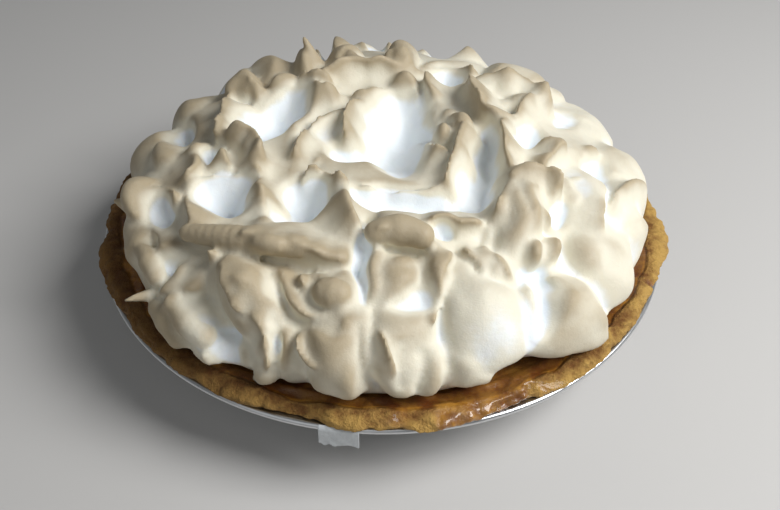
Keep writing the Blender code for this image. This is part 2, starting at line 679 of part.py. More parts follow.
@functools.lru_cache(maxsize=None)
def crest_line(fold):
    """Points along a fold's foot, set so that its leaning crest reads on the line between the ends."""
    x0, y0, x1, y1, bow, height = fold[:6]
    along = np.array([x1 - x0, y1 - y0], float)
    left = np.array([-along[1], along[0]]) / np.hypot(*along)
    middle = np.array([x0 + x1, y0 + y1]) / 2 + 2 * bow * left
    t = np.linspace(0, 1, 13)[:, None]
    crest = (1 - t) ** 2 * np.array([x0, y0]) + 2 * t * (1 - t) * middle + t**2 * np.array([x1, y1])
    places = stood(crest[:, 0], crest[:, 1], 0.85 * FOLD_HEIGHT * height)
    return np.stack(places, -1) - 0.85 * FOLD_HEIGHT * fold[8] * left


def rest_on_crust(mesh):
    """Lifts whatever hangs below the meringue's underside up to it."""
    points = points_of(mesh)
    points[:, 2] = np.maximum(points[:, 2], underside(np.hypot(points[:, 0], points[:, 1])))
    set_points(mesh, points)


def fold_rise(x, y, fold):
    """Rise and sideways push of one fold, in millimetres, at map points.

    Across the crest, the rise falls off exponentially from a rounded top, twice as fast on the
    side it leans to. Along it, the rise ripples a little and tapers to both ends.
    """
    height = fold[5] * FOLD_HEIGHT
    spread = fold[6] * FOLD_SPREAD
    roundness = fold[7]
    lean = fold[8] * FOLD_HEIGHT
    crest = crest_line(fold)
    nearest = np.full(x.shape, 1e9)
    share = np.zeros_like(x)
    aside = np.zeros_like(x)
    for i in range(len(crest) - 1):
        start = crest[i]
        step = crest[i + 1] - start
        dx = x - start[0]
        dy = y - start[1]
        along_step = np.clip((dx * step[0] + dy * step[1]) / (step @ step), 0, 1)
        away = np.hypot(dx - along_step * step[0], dy - along_step * step[1])
        closer = away < nearest
        nearest = np.where(closer, away, nearest)
        share = np.where(closer, (i + along_step) / (len(crest) - 1), share)
        aside = np.where(closer, step[0] * dy - step[1] * dx, aside)
    length = np.hypot(*(crest[-1] - crest[0]))
    side = 1.0 if lean >= 0 else -1.0
    fall = np.where(aside * side > 0, 0.5 * spread, spread)
    across = np.exp(-(np.sqrt(nearest**2 + roundness**2) - roundness) / fall)
    across *= smooth_step((4 * spread - nearest) / (2 * spread))
    taper = (1 - (2 * share - 1) ** 4) ** 0.7
    ripple = 1 + CREST_RIPPLE * noise(share * length, crest[0][0] + 0 * share, 6, 41)
    rise = height * across * (0.25 + 0.75 * taper) * ripple
    push = lean * across**2 * taper
    left = np.array([-(crest[-1] - crest[0])[1], (crest[-1] - crest[0])[0]]) / length
    return rise, push * left[0], push * left[1]


def fold_reach(fold):
    """The map's part that a fold can touch: least x, least y, most x, most y."""
    crest = crest_line(fold)
    margin = 4 * fold[6] * FOLD_SPREAD
    return (*(crest.min(0) - margin), *(crest.max(0) + margin))


def ellipse_share(x, y, centre_x, centre_y, half_x, half_y, turn):
    """Distance from an ellipse's centre, as a share of its half size in that direction."""
    c = math.cos(math.radians(turn))
    s = math.sin(math.radians(turn))
    dx = x - centre_x
    dy = y - centre_y
    return np.hypot((dx * c + dy * s) / half_x, (dy * c - dx * s) / half_y)


def back_lobes():
    """Lobes at seeded sizes round the part of the wall that faces away."""
    draw = np.random.default_rng(23)
    lobes = []
    for number in range(BACK_LOBES):
        azimuth = math.radians(38 + 112 * (number + draw.uniform(-0.25, 0.25)) / (BACK_LOBES - 1))
        reach = draw.uniform(98, 116)
        half = BACK_LOBE_WIDTH * draw.uniform(0.75, 1.1)
        turn = math.degrees(azimuth) - 90
        place = (reach * math.cos(azimuth), reach * math.sin(azimuth))
        lobes.append((*place, half * 0.8, half * 1.1, turn, draw.uniform(3.5, 7.0)))
    return lobes


def near_fold(x, y, fold):
    """Which map points the fold can reach."""
    x_least, y_least, x_most, y_most = fold_reach(fold)
    return (x > x_least) & (x < x_most) & (y > y_least) & (y < y_most)


def masses(x, y):
    """Height above the dome and sideways push, in millimetres, of the ground with its folds and lobes.

    Where folds and lobes meet, the higher one wins through a power mean, which leaves a crease.
    """
    power = MEETING_POWER
    total = np.zeros_like(x)
    push_x = np.zeros_like(x)
    push_y = np.zeros_like(x)
    for fold in FOLDS.values():
        near = near_fold(x, y, fold)
        rise, lean_x, lean_y = fold_rise(x[near], y[near], fold)
        weight = rise**power
        total[near] += weight
        push_x[near] += weight * lean_x
        push_y[near] += weight * lean_y
    uneven = 1 + UNEVENNESS * noise(x, y, 9, 43)
    for lobe in (*LOBES, *back_lobes()):
        centre = lobe_centre(lobe)
        share = ellipse_share(x, y, *centre, *lobe[2:5])
        inside = share < 1
        edge = 0.8 if lobe[5] > SOFT_LOBE else 1.5
        rise = LOBE_HEIGHT * lobe[5] * uneven[inside] * (1 - share[inside] ** 2) ** edge
        total[inside] += rise**power
    weight = np.maximum(total, 1e-6)
    return ground(x, y) + total ** (1 / power), push_x / weight, push_y / weight


@functools.lru_cache(maxsize=None)
def lobe_centre(lobe):
    """The place of a lobe's centre on the map."""
    centre_x, centre_y = stood(lobe[0], lobe[1], 0.8 * LOBE_HEIGHT * lobe[5])
    return float(centre_x[0]), float(centre_y[0])


@functools.lru_cache(maxsize=None)
def small_places():
    """Bumps, and grooves with the wrinkles among them, each moved to where it lies on the masses."""

    def laid(x, y):
        x = np.asarray(x, float)
        y = np.asarray(y, float)
        place = np.stack([x, y])
        for _ in range(SIGHT_ROUNDS):
            place = (place + np.stack(settled(x, y, masses(*strayed(*place))[0]))) / 2
        return strayed(*place)

    bumps = []
    for bump in BUMPS:
        x, y = laid([bump[0]], [bump[1]])
        bumps.append((x[0], y[0], *bump[2:]))
    cuts = list(GROOVES.values())
    first = np.array(WRINKLE_FIRST, float)
    last = np.array(WRINKLE_LAST, float)
    across = np.array([first[1] - last[1], last[0] - first[0]]) / np.hypot(*(last - first))
    for share in np.linspace(0, 1, WRINKLES):
        middle = first + share * (last - first)
        start = middle - WRINKLE_HALF_LENGTH * across
        end = middle + WRINKLE_HALF_LENGTH * across
        cuts.append((*start, *end, 0.8, WRINKLE_CUT, 0.9, 0.4, 0))
    grooves = []
    for groove in cuts:
        x, y = laid([groove[0], groove[2]], [groove[1], groove[3]])
        grooves.append((x[0], y[0], x[1], y[1], *groove[4:]))
    return tuple(bumps), tuple(grooves)


def cut_line(groove):
    """Points along a groove, on the bowed line between its ends."""
    x0, y0, x1, y1, bow = groove[:5]
    along = np.array([x1 - x0, y1 - y0], float)
    left = np.array([-along[1], along[0]]) / np.hypot(*along)
    middle = np.array([x0 + x1, y0 + y1]) / 2 + 2 * bow * left
    t = np.linspace(0, 1, 9)[:, None]
    return (1 - t) ** 2 * np.array([x0, y0]) + 2 * t * (1 - t) * middle + t**2 * np.array([x1, y1])


def groove_depth(x, y, groove):
    """Depth of one groove at map points: a sharp crease that tapers to both ends."""
    line = cut_line(groove)
    nearest = np.full(x.shape, 1e9)
    share = np.zeros_like(x)
    for i in range(len(line) - 1):
        start = line[i]
        step = line[i + 1] - start
        along = np.clip(((x - start[0]) * step[0] + (y - start[1]) * step[1]) / (step @ step), 0, 1)
        away = np.hypot(x - start[0] - along * step[0], y - start[1] - along * step[1])
        share = np.where(away < nearest, (i + along) / (len(line) - 1), share)
        nearest = np.minimum(nearest, away)
    depth, spread, roundness = groove[5:8]
    across = np.exp(-(np.sqrt(nearest**2 + roundness**2) - roundness) / spread)
    return depth * across * np.sqrt(np.clip(1 - (2 * share - 1) ** 4, 0, 1))


def relief(x, y):
    """Height above the dome and sideways push, in millimetres, of the whole meringue on its map."""
    x, y = strayed(x, y)
    rise, push_x, push_y = masses(x, y)
    bumps, grooves = small_places()
    for bump in bumps:
        share = ellipse_share(x, y, *bump[:5])
        rise += bump[5] * np.sqrt(np.clip(1 - share**2, 0, 1))
    for groove in grooves:
        margin = 5 * groove[6] + abs(groove[4])
        near = (x > min(groove[0], groove[2]) - margin) & (x < max(groove[0], groove[2]) + margin)
        near &= (y > min(groove[1], groove[3]) - margin) & (y < max(groove[1], groove[3]) + margin)
        rise[near] -= groove_depth(x[near], y[near], groove)
    return rise, push_x, push_y


def on_meringue(x, y):
    """Positions in metres, and outward normals, of map points in millimetres on the swirled surface."""
    rise, push_x, push_y = relief(x, y)
    x = x + push_x
    y = y + push_y
    r, z, away_x, away_y, out, up = dome_frame(x, y)
    r = (r + rise * out) * MM
    z = (z + rise * up) * MM + MERINGUE_FOOT
    tuck = smooth_step((MERINGUE_FOOT + 7 * MM - z) / (7 * MM))
    r = r - FOOT_TUCK * tuck**2
    low = smooth_step((MERINGUE_FOOT + FOOT_BAY_RISE - z) / FOOT_BAY_RISE)
    azimuth = np.degrees(np.arctan2(y, x))
    for bay_azimuth, half_width, depth in FOOT_BAYS:
        apart = np.abs((azimuth - bay_azimuth + 180) % 360 - 180) / half_width
        r = r - depth * MM * low * np.clip(1 - apart**2, 0, 1) ** 2
    rim = dome_section()[2][-1] / MM
    z = np.maximum(z, underside(r) + 2.5 * MM * smooth_step((rim - np.hypot(x, y)) / 6))
    points = np.stack([r * away_x, r * away_y, z], -1)
    normals = np.stack([out * away_x, out * away_y, up], -1)
    return points, normals


def meringue_body(collection, material):
    """The swirled body: a ball, its upper part spread over the map and its lower part the underside."""
    mesh = bpy.data.meshes.new("meringue")
    shaper = bmesh.new()
    bmesh.ops.create_icosphere(shaper, subdivisions=7, radius=1.0)
    shaper.to_mesh(mesh)
    shaper.free()
    ball = points_of(mesh)
    tilt = np.degrees(np.arccos(np.clip(ball[:, 2], -1, 1)))
    around = np.arctan2(ball[:, 1], ball[:, 0])
    map_rim = dome_section()[2][-1] / MM
    foot_tilt = 105.0
    reach = map_rim * np.minimum(tilt / foot_tilt, 1.0)
    points, _ = on_meringue(reach * np.cos(around), reach * np.sin(around))
    below = tilt > foot_tilt
    inward = np.clip((180 - tilt[below]) / (180 - foot_tilt), 0, 1)
    points[below, :2] *= inward[:, None]
    points[below, 2] = underside(np.hypot(points[below, 0], points[below, 1]))
    set_points(mesh, points)
    return add_object("meringue", mesh, collection, material)


def tube_curve(name, places, radii, collection):
    """A round tube through the places, with a radius at each."""
    curve = bpy.data.curves.new(name, "CURVE")
    curve.dimensions = "3D"
    curve.bevel_depth = 1.0
    curve.bevel_resolution = 3
    curve.use_fill_caps = True
    spline = curve.splines.new("POLY")
    spline.points.add(len(places) - 1)
    for point, place, radius in zip(spline.points, places, radii):
        point.co = (*place, 1.0)
        point.radius = radius
    thing = bpy.data.objects.new(name, curve)
    collection.objects.link(thing)
    return thing


def roll_curve(name, roll, collection):
    """A roll along a bowed line at a set height above the dome: its radius swells between its
    ends, shrinks to a half ball past both, and ripples where it has wrinkles."""
    x0, y0, x1, y1, bow, stand, first, middle, last, wrinkles = roll
    along = np.array([x1 - x0, y1 - y0], float)
    length = np.hypot(*along)
    left = np.array([-along[1], along[0]]) / length
    sweep = (1 - np.cos(np.linspace(0.0, np.pi, ROLL_POINTS))) / 2
    walked = 0.98 * (-first + (first + length + last) * sweep) + 0.02 * length * sweep
    share = np.clip(walked / length, 0, 1)
    bowed = (4 * bow * share * (1 - share))[:, None] * left
    flat = np.array([x0, y0]) + (walked / length)[:, None] * along + bowed
    x, y = settled(flat[:, 0], flat[:, 1], stand)
    r, z, away_x, away_y, out, up = dome_frame(x, y)
    r = (r + stand * out) * MM
    z = (z + stand * up) * MM + MERINGUE_FOOT
    places = np.stack([r * away_x, r * away_y, z], -1)
    swell = np.interp(share, [0, 0.5, 1], [first, middle, last])
    past_end = np.maximum(-walked / first, (walked - length) / last)
    round_end = np.sqrt(1 - np.clip(past_end, 0, 0.995) ** 2)
    ripple = 1 + WRINKLE_DEPTH * np.sin(2 * np.pi * wrinkles * share)
    return tube_curve(name, places, swell * round_end * ripple * MM, collection)


def peak_curve(name, peak, collection):
    """A peak drawn up by the spoon: a tapering tube that leaves along the normal and droops over."""
    x, y, length, thickness, heading, droop = peak
    x, y = settled(float(x), float(y), 0.7 * thickness)
    foot, normal = on_meringue(np.array([x]), np.array([y]))
    foot, normal = foot[0], normal[0]
    level = np.array([math.cos(math.radians(heading)), math.sin(math.radians(heading)), 0.0])
    count = 9
    stride = (length + 0.8 * thickness) * MM / (count - 1)
    places = [foot - normal * thickness * MM * 0.8]
    radii = [thickness * MM]
    for i in range(1, count):
        share = i / (count - 1)
        bend = math.radians(droop) * (0.4 + share)
        heading_now = normal * math.cos(bend) + level * math.sin(bend)
        places.append(places[-1] + heading_now * stride)
        radii.append(thickness * MM * (1.0 - 0.88 * share**0.7))
    return tube_curve(name, places, radii, collection)


def as_mesh(thing):
    """The curve's own mesh, its caps welded to its sides."""
    graph = bpy.context.evaluated_depsgraph_get()
    mesh = bpy.data.meshes.new_from_object(thing.evaluated_get(graph))
    shaper = bmesh.new()
    shaper.from_mesh(mesh)
    bmesh.ops.remove_doubles(shaper, verts=shaper.verts, dist=0.01 * MM)
    shaper.to_mesh(mesh)
    shaper.free()
    return mesh


def make_meringue(collection):
    """Body and peaks become one skin through a voxel remesh, which is then thinned to few triangles."""
    body = meringue_body(collection, finish("meringue", (0.90, 0.84, 0.73), 0.55))
    whole = bmesh.new()
    whole.from_mesh(body.data)
    curves = [peak_curve(name, peak, collection) for name, peak in PEAKS.items()]
    curves += [roll_curve(name, roll, collection) for name, roll in ROLLS.items()]
    for curve in curves:
        whole.from_mesh(as_mesh(curve))
        bpy.data.objects.remove(curve)
    whole.to_mesh(body.data)
    whole.free()
    remesh = body.modifiers.new("One skin", "REMESH")
    remesh.mode = "VOXEL"
    remesh.voxel_size = MERINGUE_VOXEL
    soften = body.modifiers.new("Soften", "SMOOTH")
    soften.factor = 0.5
    soften.iterations = 1
    rest_on_crust(applied(body).data)
    body.data.calc_loop_triangles()
    thin = body.modifiers.new("Thin", "DECIMATE")
    thin.ratio = MERINGUE_TRIANGLES / len(body.data.loop_triangles)
    rest_on_crust(applied(body).data)
    return body


def main():
    clear_scene()
    pie = new_collection("lemon_meringue_pie")
    make_tin(pie)
    make_tape(pie)
    make_crust(pie)
    make_filling(pie)
    make_meringue(pie)


if __name__ == "__main__":
    main()
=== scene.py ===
"""Lemon meringue pie in its tin, with its finish: one shared frame in metres, +Z up.

The origin is the centre of the tin's underside. The photo's camera looks along +Y and down.
"""

import functools
import math

import bpy
import numpy as np
from mathutils import Matrix, Vector


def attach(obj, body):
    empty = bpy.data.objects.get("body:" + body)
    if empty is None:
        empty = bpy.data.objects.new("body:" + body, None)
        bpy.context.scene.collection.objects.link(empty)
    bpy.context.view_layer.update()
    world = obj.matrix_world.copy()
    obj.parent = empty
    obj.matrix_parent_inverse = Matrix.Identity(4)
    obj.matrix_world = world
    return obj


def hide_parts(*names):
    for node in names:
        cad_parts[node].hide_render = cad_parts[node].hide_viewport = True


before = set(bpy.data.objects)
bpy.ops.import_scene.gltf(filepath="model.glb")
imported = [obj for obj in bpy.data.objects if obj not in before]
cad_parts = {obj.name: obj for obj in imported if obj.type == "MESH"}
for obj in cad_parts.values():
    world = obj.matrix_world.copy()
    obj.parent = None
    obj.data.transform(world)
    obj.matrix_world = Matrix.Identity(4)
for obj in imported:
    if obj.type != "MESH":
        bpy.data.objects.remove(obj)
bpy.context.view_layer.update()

MM = 0.001


# Driving dimensions of the tin, a nine inch pie tin with sloping sides and a rolled edge
TIN_BASE_RADIUS = 92.0 * MM
TIN_MOUTH_RADIUS = 113.0 * MM
TIN_RIM_RADIUS = 122.0 * MM
TIN_DEPTH = 32.0 * MM
TIN_SHEET = 0.7 * MM
TIN_BEAD = 1.3 * MM

# Pastry: how far its edge stands above the tin's flange, and how lumpy and wandering it is
CRUST_RISE = 6.0 * MM
CRUST_EDGE_RADIUS = 121.8 * MM
CRUST_LUMP = 0.9 * MM
CRUST_WANDER = 1.3 * MM

# Filling and meringue levels
FILLING_TOP = 34.6 * MM
MERINGUE_FOOT = 35.0 * MM
MERINGUE_LIFT_OVER_CRUST = 5.6 * MM
DOME_HEIGHT = 40.0 * MM
DOME_RADIUS = 111.0 * MM
DOME_SQUARENESS = 3.7
DOME_UNDULATION = 1.6 * MM
FOOT_TUCK = 3.0 * MM
FOOT_TUCK_RISE = 7 * MM
THIN_RIM = 2.5 * MM

# Tape over the rim
TAPE_WIDTH = 14.5 * MM
TAPE_DROP = 6.5 * MM
TAPE_SHEET = 0.4 * MM
TAPE_AZIMUTH = 263.6

# Gap between pieces that touch, half the rows of a roll, and how deep its wrinkles are
GAP = 0.3 * MM
ROLL_POINTS = 41
WRINKLE_DEPTH = 0.065

# Places on the meringue are read off a map of its dome: x to the right and y to the back,
# both in millimetres of arc from the top, so that the map's rim is the meringue's foot.
# They are read from one side and above, from this place in millimetres.
MAP_EYE = (3.0, -316.0, 286.0)
SIGHT_ROUNDS = 9
GRAZING_SIGHT = 0.45

# How far outlines wander and the cell of the noise behind it, slow and quick, in millimetres.
SLOW_STRAY = 2.3
SLOW_CELL = 19
QUICK_STRAY = 1.1
QUICK_CELL = 8
STRAY_SEEDS = (31, 33)

# How strongly folds, lobes and basins are carved, against the heights and depths listed, and
# at what share of that height each one is read.
FOLD_HEIGHT = 1.75
FOLD_READ_AT = 0.85
FOLD_SPREAD = 1.12
FOLD_REACH = 4
LOBE_HEIGHT = 1.4
LOBE_READ_AT = 0.8
BASIN_DEPTH = 1.3
BASIN_READ_AT = 0.25
BASIN_PROFILE = 1.4

# Lobes that rise no more than this are soft: their sides are flatter than those of full ones.
SOFT_LOBE = 5.25
SOFT_PROFILE = 1.5
FULL_PROFILE = 0.8

# Where masses meet, the higher wins more sharply with a higher power.
MEETING_POWER = 9

# Unevenness: how strong, with the cell of its noise in millimetres.
CREST_RIPPLE = 0.2
CREST_RIPPLE_CELL = 6
CRINKLE = 1.7
CRINKLE_CELL = 15
UNEVENNESS = 0.14
UNEVENNESS_CELL = 9
UNDULATION_CELL = 34

# Folds drawn up by the spoon, on the dome's map: start x, y, end x, y, bow to the left of the
# way from start to end, height, spread to the sides, roundness of the crest, lean to the left.
FOLDS = {
    "left roll": (-76, -52, -12, -73, 1, 6.6, 2.8, 3.4, -2.0),
    "left basin, west rim": (-81, -24, -74, -51, 0, 5.5, 4.5, 1.8, -1.0),
    "left basin, north rim": (-82, -22, -49, -28, 2, 5.5, 4.0, 1.6, 2.0),
    "left basin, east rim": (-53, -13, -43, -53, 0, 5.0, 3.8, 1.8, 0.8),
    "middle basin, horn": (-33, -32, -27, -17, 1, 6.5, 2.8, 1.0, 1.0),
    "middle basin, north rim": (-28, -22, -12, -27, 1, 5.5, 3.2, 1.4, 1.8),
    "middle basin, east rim": (-13, -26, -5, -61, -3, 6.5, 3.8, 1.6, 1.4),
    "centre roll": (-5, -62, 21, -61, 4, 6.5, 3.6, 3.2, -3.0),
    "centre lip": (14, -53, 41, -52, -1, 5.0, 3.0, 1.2, -1.4),
    "east channel, lower rim": (40, -53, 51, -18, -1, 6.5, 3.6, 1.6, 1.6),
    "east channel, upper rim": (51, -20, 49, 17, -1, 7.0, 4.2, 1.8, 2.0),
    "north east fold": (49, 14, 40, 66, 2, 8.0, 4.4, 1.8, 2.6),
    "drapes, crest": (51, -13, 80, -19, 2, 8.4, 3.6, 1.4, 2.2),
    "drapes, east fold": (62, -22, 68, -44, -2, 7.4, 2.4, 1.0, -1.2),
    "central basin, east rim": (35, 18, 24, -29, 1, 6.5, 4.2, 1.6, -1.6),
    "central basin, south rim": (26, -28, -13, -29, 10, 4.2, 2.0, 0.8, -0.6),
    "central basin, spur": (11, -3, 28, -12, 2, 4.5, 2.6, 1.0, 1.4),
    "upper divider": (-17, 27, -39, -8, -2, 5.5, 3.0, 1.0, -1.4),
    "upper east wall": (-12, 40, -17, -3, -2, 6.0, 3.0, 1.2, -2.0),
    "upper brow": (-14, 38, 9, 35, 2, 3.6, 4.0, 1.8, 1.4),
    "north ear": (-27, 62, -12, 76, 4, 4.6, 3.0, 1.0, 2.0),
    "north ear, second": (-12, 76, -8, 58, 2, 4.0, 3.0, 1.0, 1.6),
    "north knuckle": (-2, 70, 12, 76, 3, 5.0, 3.0, 1.0, 1.6),
    "north west crest": (-76, 44, -58, 52, 2, 5.5, 3.2, 1.0, 1.8),
    "back east crest": (20, 64, 46, 64, 2, 3.6, 3.2, 1.0, 1.6),
    "north west brow": (-56, 37, -21, 44, 2, 5.0, 4.2, 1.8, 1.6),
    "north west brow, second": (-44, 48, -26, 56, 2, 5.5, 3.6, 1.4, 1.6),
    "north brow": (-34, 60, 12, 66, 4, 6.0, 5.0, 2.2, -1.6),
    "north spur": (4, 52, 16, 38, 2, 5.0, 3.2, 1.2, 1.4),
    "north spur, second": (20, 60, 22, 36, -2, 5.0, 3.2, 1.2, -1.2),
    "north east crest": (44, 62, 82, 48, 5, 6.5, 5.0, 2.2, 2.4),
    "east brow": (60, 24, 72, 44, 3, 5.0, 3.6, 1.6, 1.6),
    "east crumb crest": (66, 3, 79, 9, 1, 4.0, 2.6, 1.0, 1.0),
    "east ridge": (84, 9, 66, -17, -3, 5.0, 3.6, 1.6, 1.4),
    "east skyline": (96, -30, 126, 12, 3, 5.0, 5.0, 2.0, 1.6),
    "east shoulder": (98, -10, 92, -50, -4, 4.0, 5.0, 2.0, 1.4),
    "west brow": (-74, 44, -74, 2, 1, 5.5, 4.0, 1.6, -1.4),
    "west window, west rim": (-74, 2, -82, -22, 1, 4.5, 3.0, 1.2, 1.0),
    "west window, east rim": (-72, 2, -62, -22, 1, 4.5, 2.8, 1.0, 1.0),
    "west knuckle": (-69, 13, -50, -12, 5, 6.5, 4.0, 1.6, 1.6),
    "west shelf": (-112, -13, -84, -28, 2, 4.5, 4.2, 1.8, 2.0),
    "west band": (-94, -28, -92, -48, -4, 4.5, 3.2, 1.4, -1.2),
    "west slope crest": (-96, -46, -78, -72, 2, 4.0, 4.0, 2.0, 1.0),
    "south west brow": (-102, -73, -72, -80, 2, 5.0, 3.8, 1.6, -1.2),
    "south west fold": (-88, -78, -72, -99, -2, 5.0, 3.4, 1.6, -1.6),
    "flame, tail": (-41, -98, -49, -121, 2, 6.5, 3.6, 1.6, 1.8),
    "flame, lower edge": (-63, -67, -41, -100, -6, 7.2, 3.4, 1.6, -1.6),
    "flame, upper edge": (-63, -67, -47, -79, -1, 6.4, 2.8, 1.4, 1.0),
    "under the left roll": (-62, -64, -33, -85, -1, 4.6, 3.0, 1.6, -1.0),
    "front curl": (-37, -75, -10, -98, -9, 4.4, 2.4, 1.0, -1.0),
    "front curl, inner": (-30, -77, -23, -90, -1, 4.6, 2.0, 0.9, -0.6),
    "spout": (28, -66, 20, -102, -2, 5.0, 3.0, 1.2, 1.2),
    "front lobe, west lip": (-32, -101, -24, -120, -2, 6.9, 2.3, 0.9, -0.5),
    "pleat, crest": (0, -99, 9, -125, 2, 7.4, 2.0, 0.8, 1.2),
    "fan, first crest": (29, -66, 39, -79, 1, 5.0, 2.6, 1.2, -1.0),
    "fan, second crest": (37, -62, 49, -79, 1, 5.5, 2.8, 1.2, -1.0),
    "south east lobe, west edge": (63, -72, 66, -100, -1, 5.0, 4.0, 2.0, -1.4),
}

# Rolls that lie on the dome, with rounded ends: start x, y, end x, y, bow to the left,
# height of the middle line above the dome, radius at start, middle and end, cross wrinkles.
ROLLS = {
    "left roll": (-76, -53, -30, -67, -1, 7.0, 3.4, 5.2, 4.4, 13),
    "knob": (-45, -63, -38, -65, 0, 10.6, 3.4, 3.9, 3.2, 0),
    "centre roll": (-2, -61, 15, -62, 2, 6.6, 4.4, 6.2, 5.0, 0),
    "front ball": (-19, -87, -15, -88, 0, 5.6, 5.4, 6.2, 5.6, 0),
    "almond": (-102, -51, -93, -67, 1, 5.0, 3.2, 5.0, 3.8, 0),
    "south west curl": (-86, -80, -73, -98, -2, 6.6, 3.4, 5.2, 4.6, 0),
    "west foot curl": (-98, -78, -90, -94, 1, 5.0, 4.0, 5.6, 4.6, 0),
    "flame, tail": (-43, -102, -48, -119, 2, 1.2, 2.6, 4.8, 4.0, 3),
    "foot knob": (35, -114, 42, -115, 0, 2.6, 4.0, 4.6, 3.4, 0),
}

# Basins that the spoon pressed: centre x, y, half sizes, turn in degrees, depth.
BASINS = (
    (5, -2, 18, 37, 4, 12.0),
    (12, 20, 12, 18, -24, 4.0),
    (-13, -15, 14, 10, -10, 8.0),
    (41, -20, 7, 32, -6, 5.5),
    (33, -38, 12, 15, 10, 5.5),
    (9, -46, 30, 9.5, 2, 7.5),
    (-61, -41, 17, 14, -22, 11.5),
    (-29, -45, 13, 16, 10, 10.0),
    (-38, -53, 16, 6, -8, 5.0),
    (-46, 14, 15, 28, -28, 10.5),
    (-27, -1, 11, 22, -20, 4.6),
    (28, 46, 11, 14, 0, 8.0),
    (-71, -13, 8, 10, 0, 6.0),
    (-88, -42, 7, 16, 12, 6.0),
    (-90, 14, 9, 20, 25, 6.0),
    (-64, 28, 7, 14, 0, 4.5),
    (59, -2, 9, 14, -15, 6.0),
    (88, -15, 8, 16, 0, 5.5),
    (-7, -77, 4, 20, 0, 4.0),
    (14, -91, 9, 7, 15, 2.6),
    (-65, -92, 6, 13, 25, 5.0),
    (-80, -68, 8, 8, 10, 3.6),
    (-20, -99, 13, 2.4, -14, 1.8),
    (-55, -104, 7, 10, 20, 5.0),
    (-36, -103, 3.6, 12, -8, 4.0),
    (-36, -86, 4, 10, 32, 4.0),
    (58, -84, 6, 15, -4, 4.5),
    (23, -62, 5, 5, 0, 4.0),
    (67, -47, 5, 8, -20, 5.5),
    (-84, 62, 22, 20, 38, 8.0),
    (-51, 84, 10, 27, 12, 10.0),
    (-30, 88, 5, 20, 4, 9.0),
    (-5, 94, 6, 16, 0, 8.0),
    (30, 90, 13, 20, 0, 9.0),
    (-8, 56, 10, 10, 0, 5.0),
    (80, 26, 7, 16, -30, 3.0),
)

# Lobes pushed out by the spoon: centre x, y, half sizes, turn in degrees, rise.
LOBES = (
    (-52, -83, 22, 12, -50, 8.8),
    (-45, -86, 10, 10, 0, 7.5),
    (-16, -87, 12, 14, 0, 6.0),
    (-3, -77, 7, 19, -3, 5.0),
    (8, -81, 14, 19, 0, 4.9),
    (21, -77, 7, 18, 6, 6.0),
    (31, -82, 9, 18, 0, 5.5),
    (-15, -112, 17, 20, 0, 8.5),
    (-34, -108, 9, 15, 8, 5.0),
    (9, -101, 14, 10, 0, 6.2),
    (4, -112, 9, 19, 8, 7.0),
    (12, -116, 6.5, 14, 0, 5.5),
    (21, -115, 7, 14, 0, 5.5),
    (35, -113, 14, 12, 0, 6.0),
    (42, -94, 22, 20, 0, 8.5),
    (40, -71, 10, 8, -40, 6.0),
    (84, -86, 24, 18, 18, 10.0),
    (54, -41, 13, 27, -8, 9.0),
    (67, -57, 5, 7, 0, 8.0),
    (59, -62, 5, 6, 0, 7.0),
    (102, -50, 17, 20, 25, 5.3),
    (84, -56, 10, 12, 0, 5.5),
    (117, -24, 17, 18, 0, 5.2),
    (121, 14, 20, 26, 0, 5.2),
    (106, 50, 22, 24, 0, 4.6),
    (66, 74, 16, 15, 10, 6.0),
    (62, 38, 12, 9, 20, 5.5),
    (54, 10, 7, 8, 0, 6.0),
    (-86, -59, 9, 17, 32, 5.0),
    (-110, -42, 12, 26, 22, 5.0),
    (-97, -85, 10, 14, 35, 8.0),
    (-78, -88, 8, 15, 30, 9.0),
    (-70, -106, 16, 7, -18, 6.0),
    (-62, -74, 8, 9, 0, 4.0),
    (-112, 26, 19, 22, 0, 5.0),
    (-113, -13, 10, 13, 20, 7.0),
    (-100, 8, 9, 16, 20, 5.0),
    (-39, 74, 7, 16, 8, 6.5),
    (-18, 80, 12, 16, 8, 8.0),
    (8, 84, 9, 16, 0, 8.5),
    (34, 12, 7, 9, 10, 6.5),
    (25, 6, 6, 8, 20, 5.5),
    (-62, 4, 7, 9, 0, 6.5),
    (-56, -6, 6, 7, 0, 6.0),
    (-66, 50, 9, 10, 0, 8.0),
    (-46, 46, 8, 8, 0, 6.0),
    (-33, 52, 7, 7, 0, 6.5),
    (10, 52, 8, 9, 0, 5.5),
)

# Lobes round the back wall, which repeat by a rule: how many, the mean half width, the first
# azimuth and the sweep in degrees, then least and most distance from the middle, and rise.
BACK_LOBES = 9
BACK_LOBE_WIDTH = 17.0
BACK_LOBE_FIRST = 38
BACK_LOBE_SWEEP = 112
BACK_LOBE_PLACE = (98, 116)
BACK_LOBE_RISE = (3.5, 7.0)

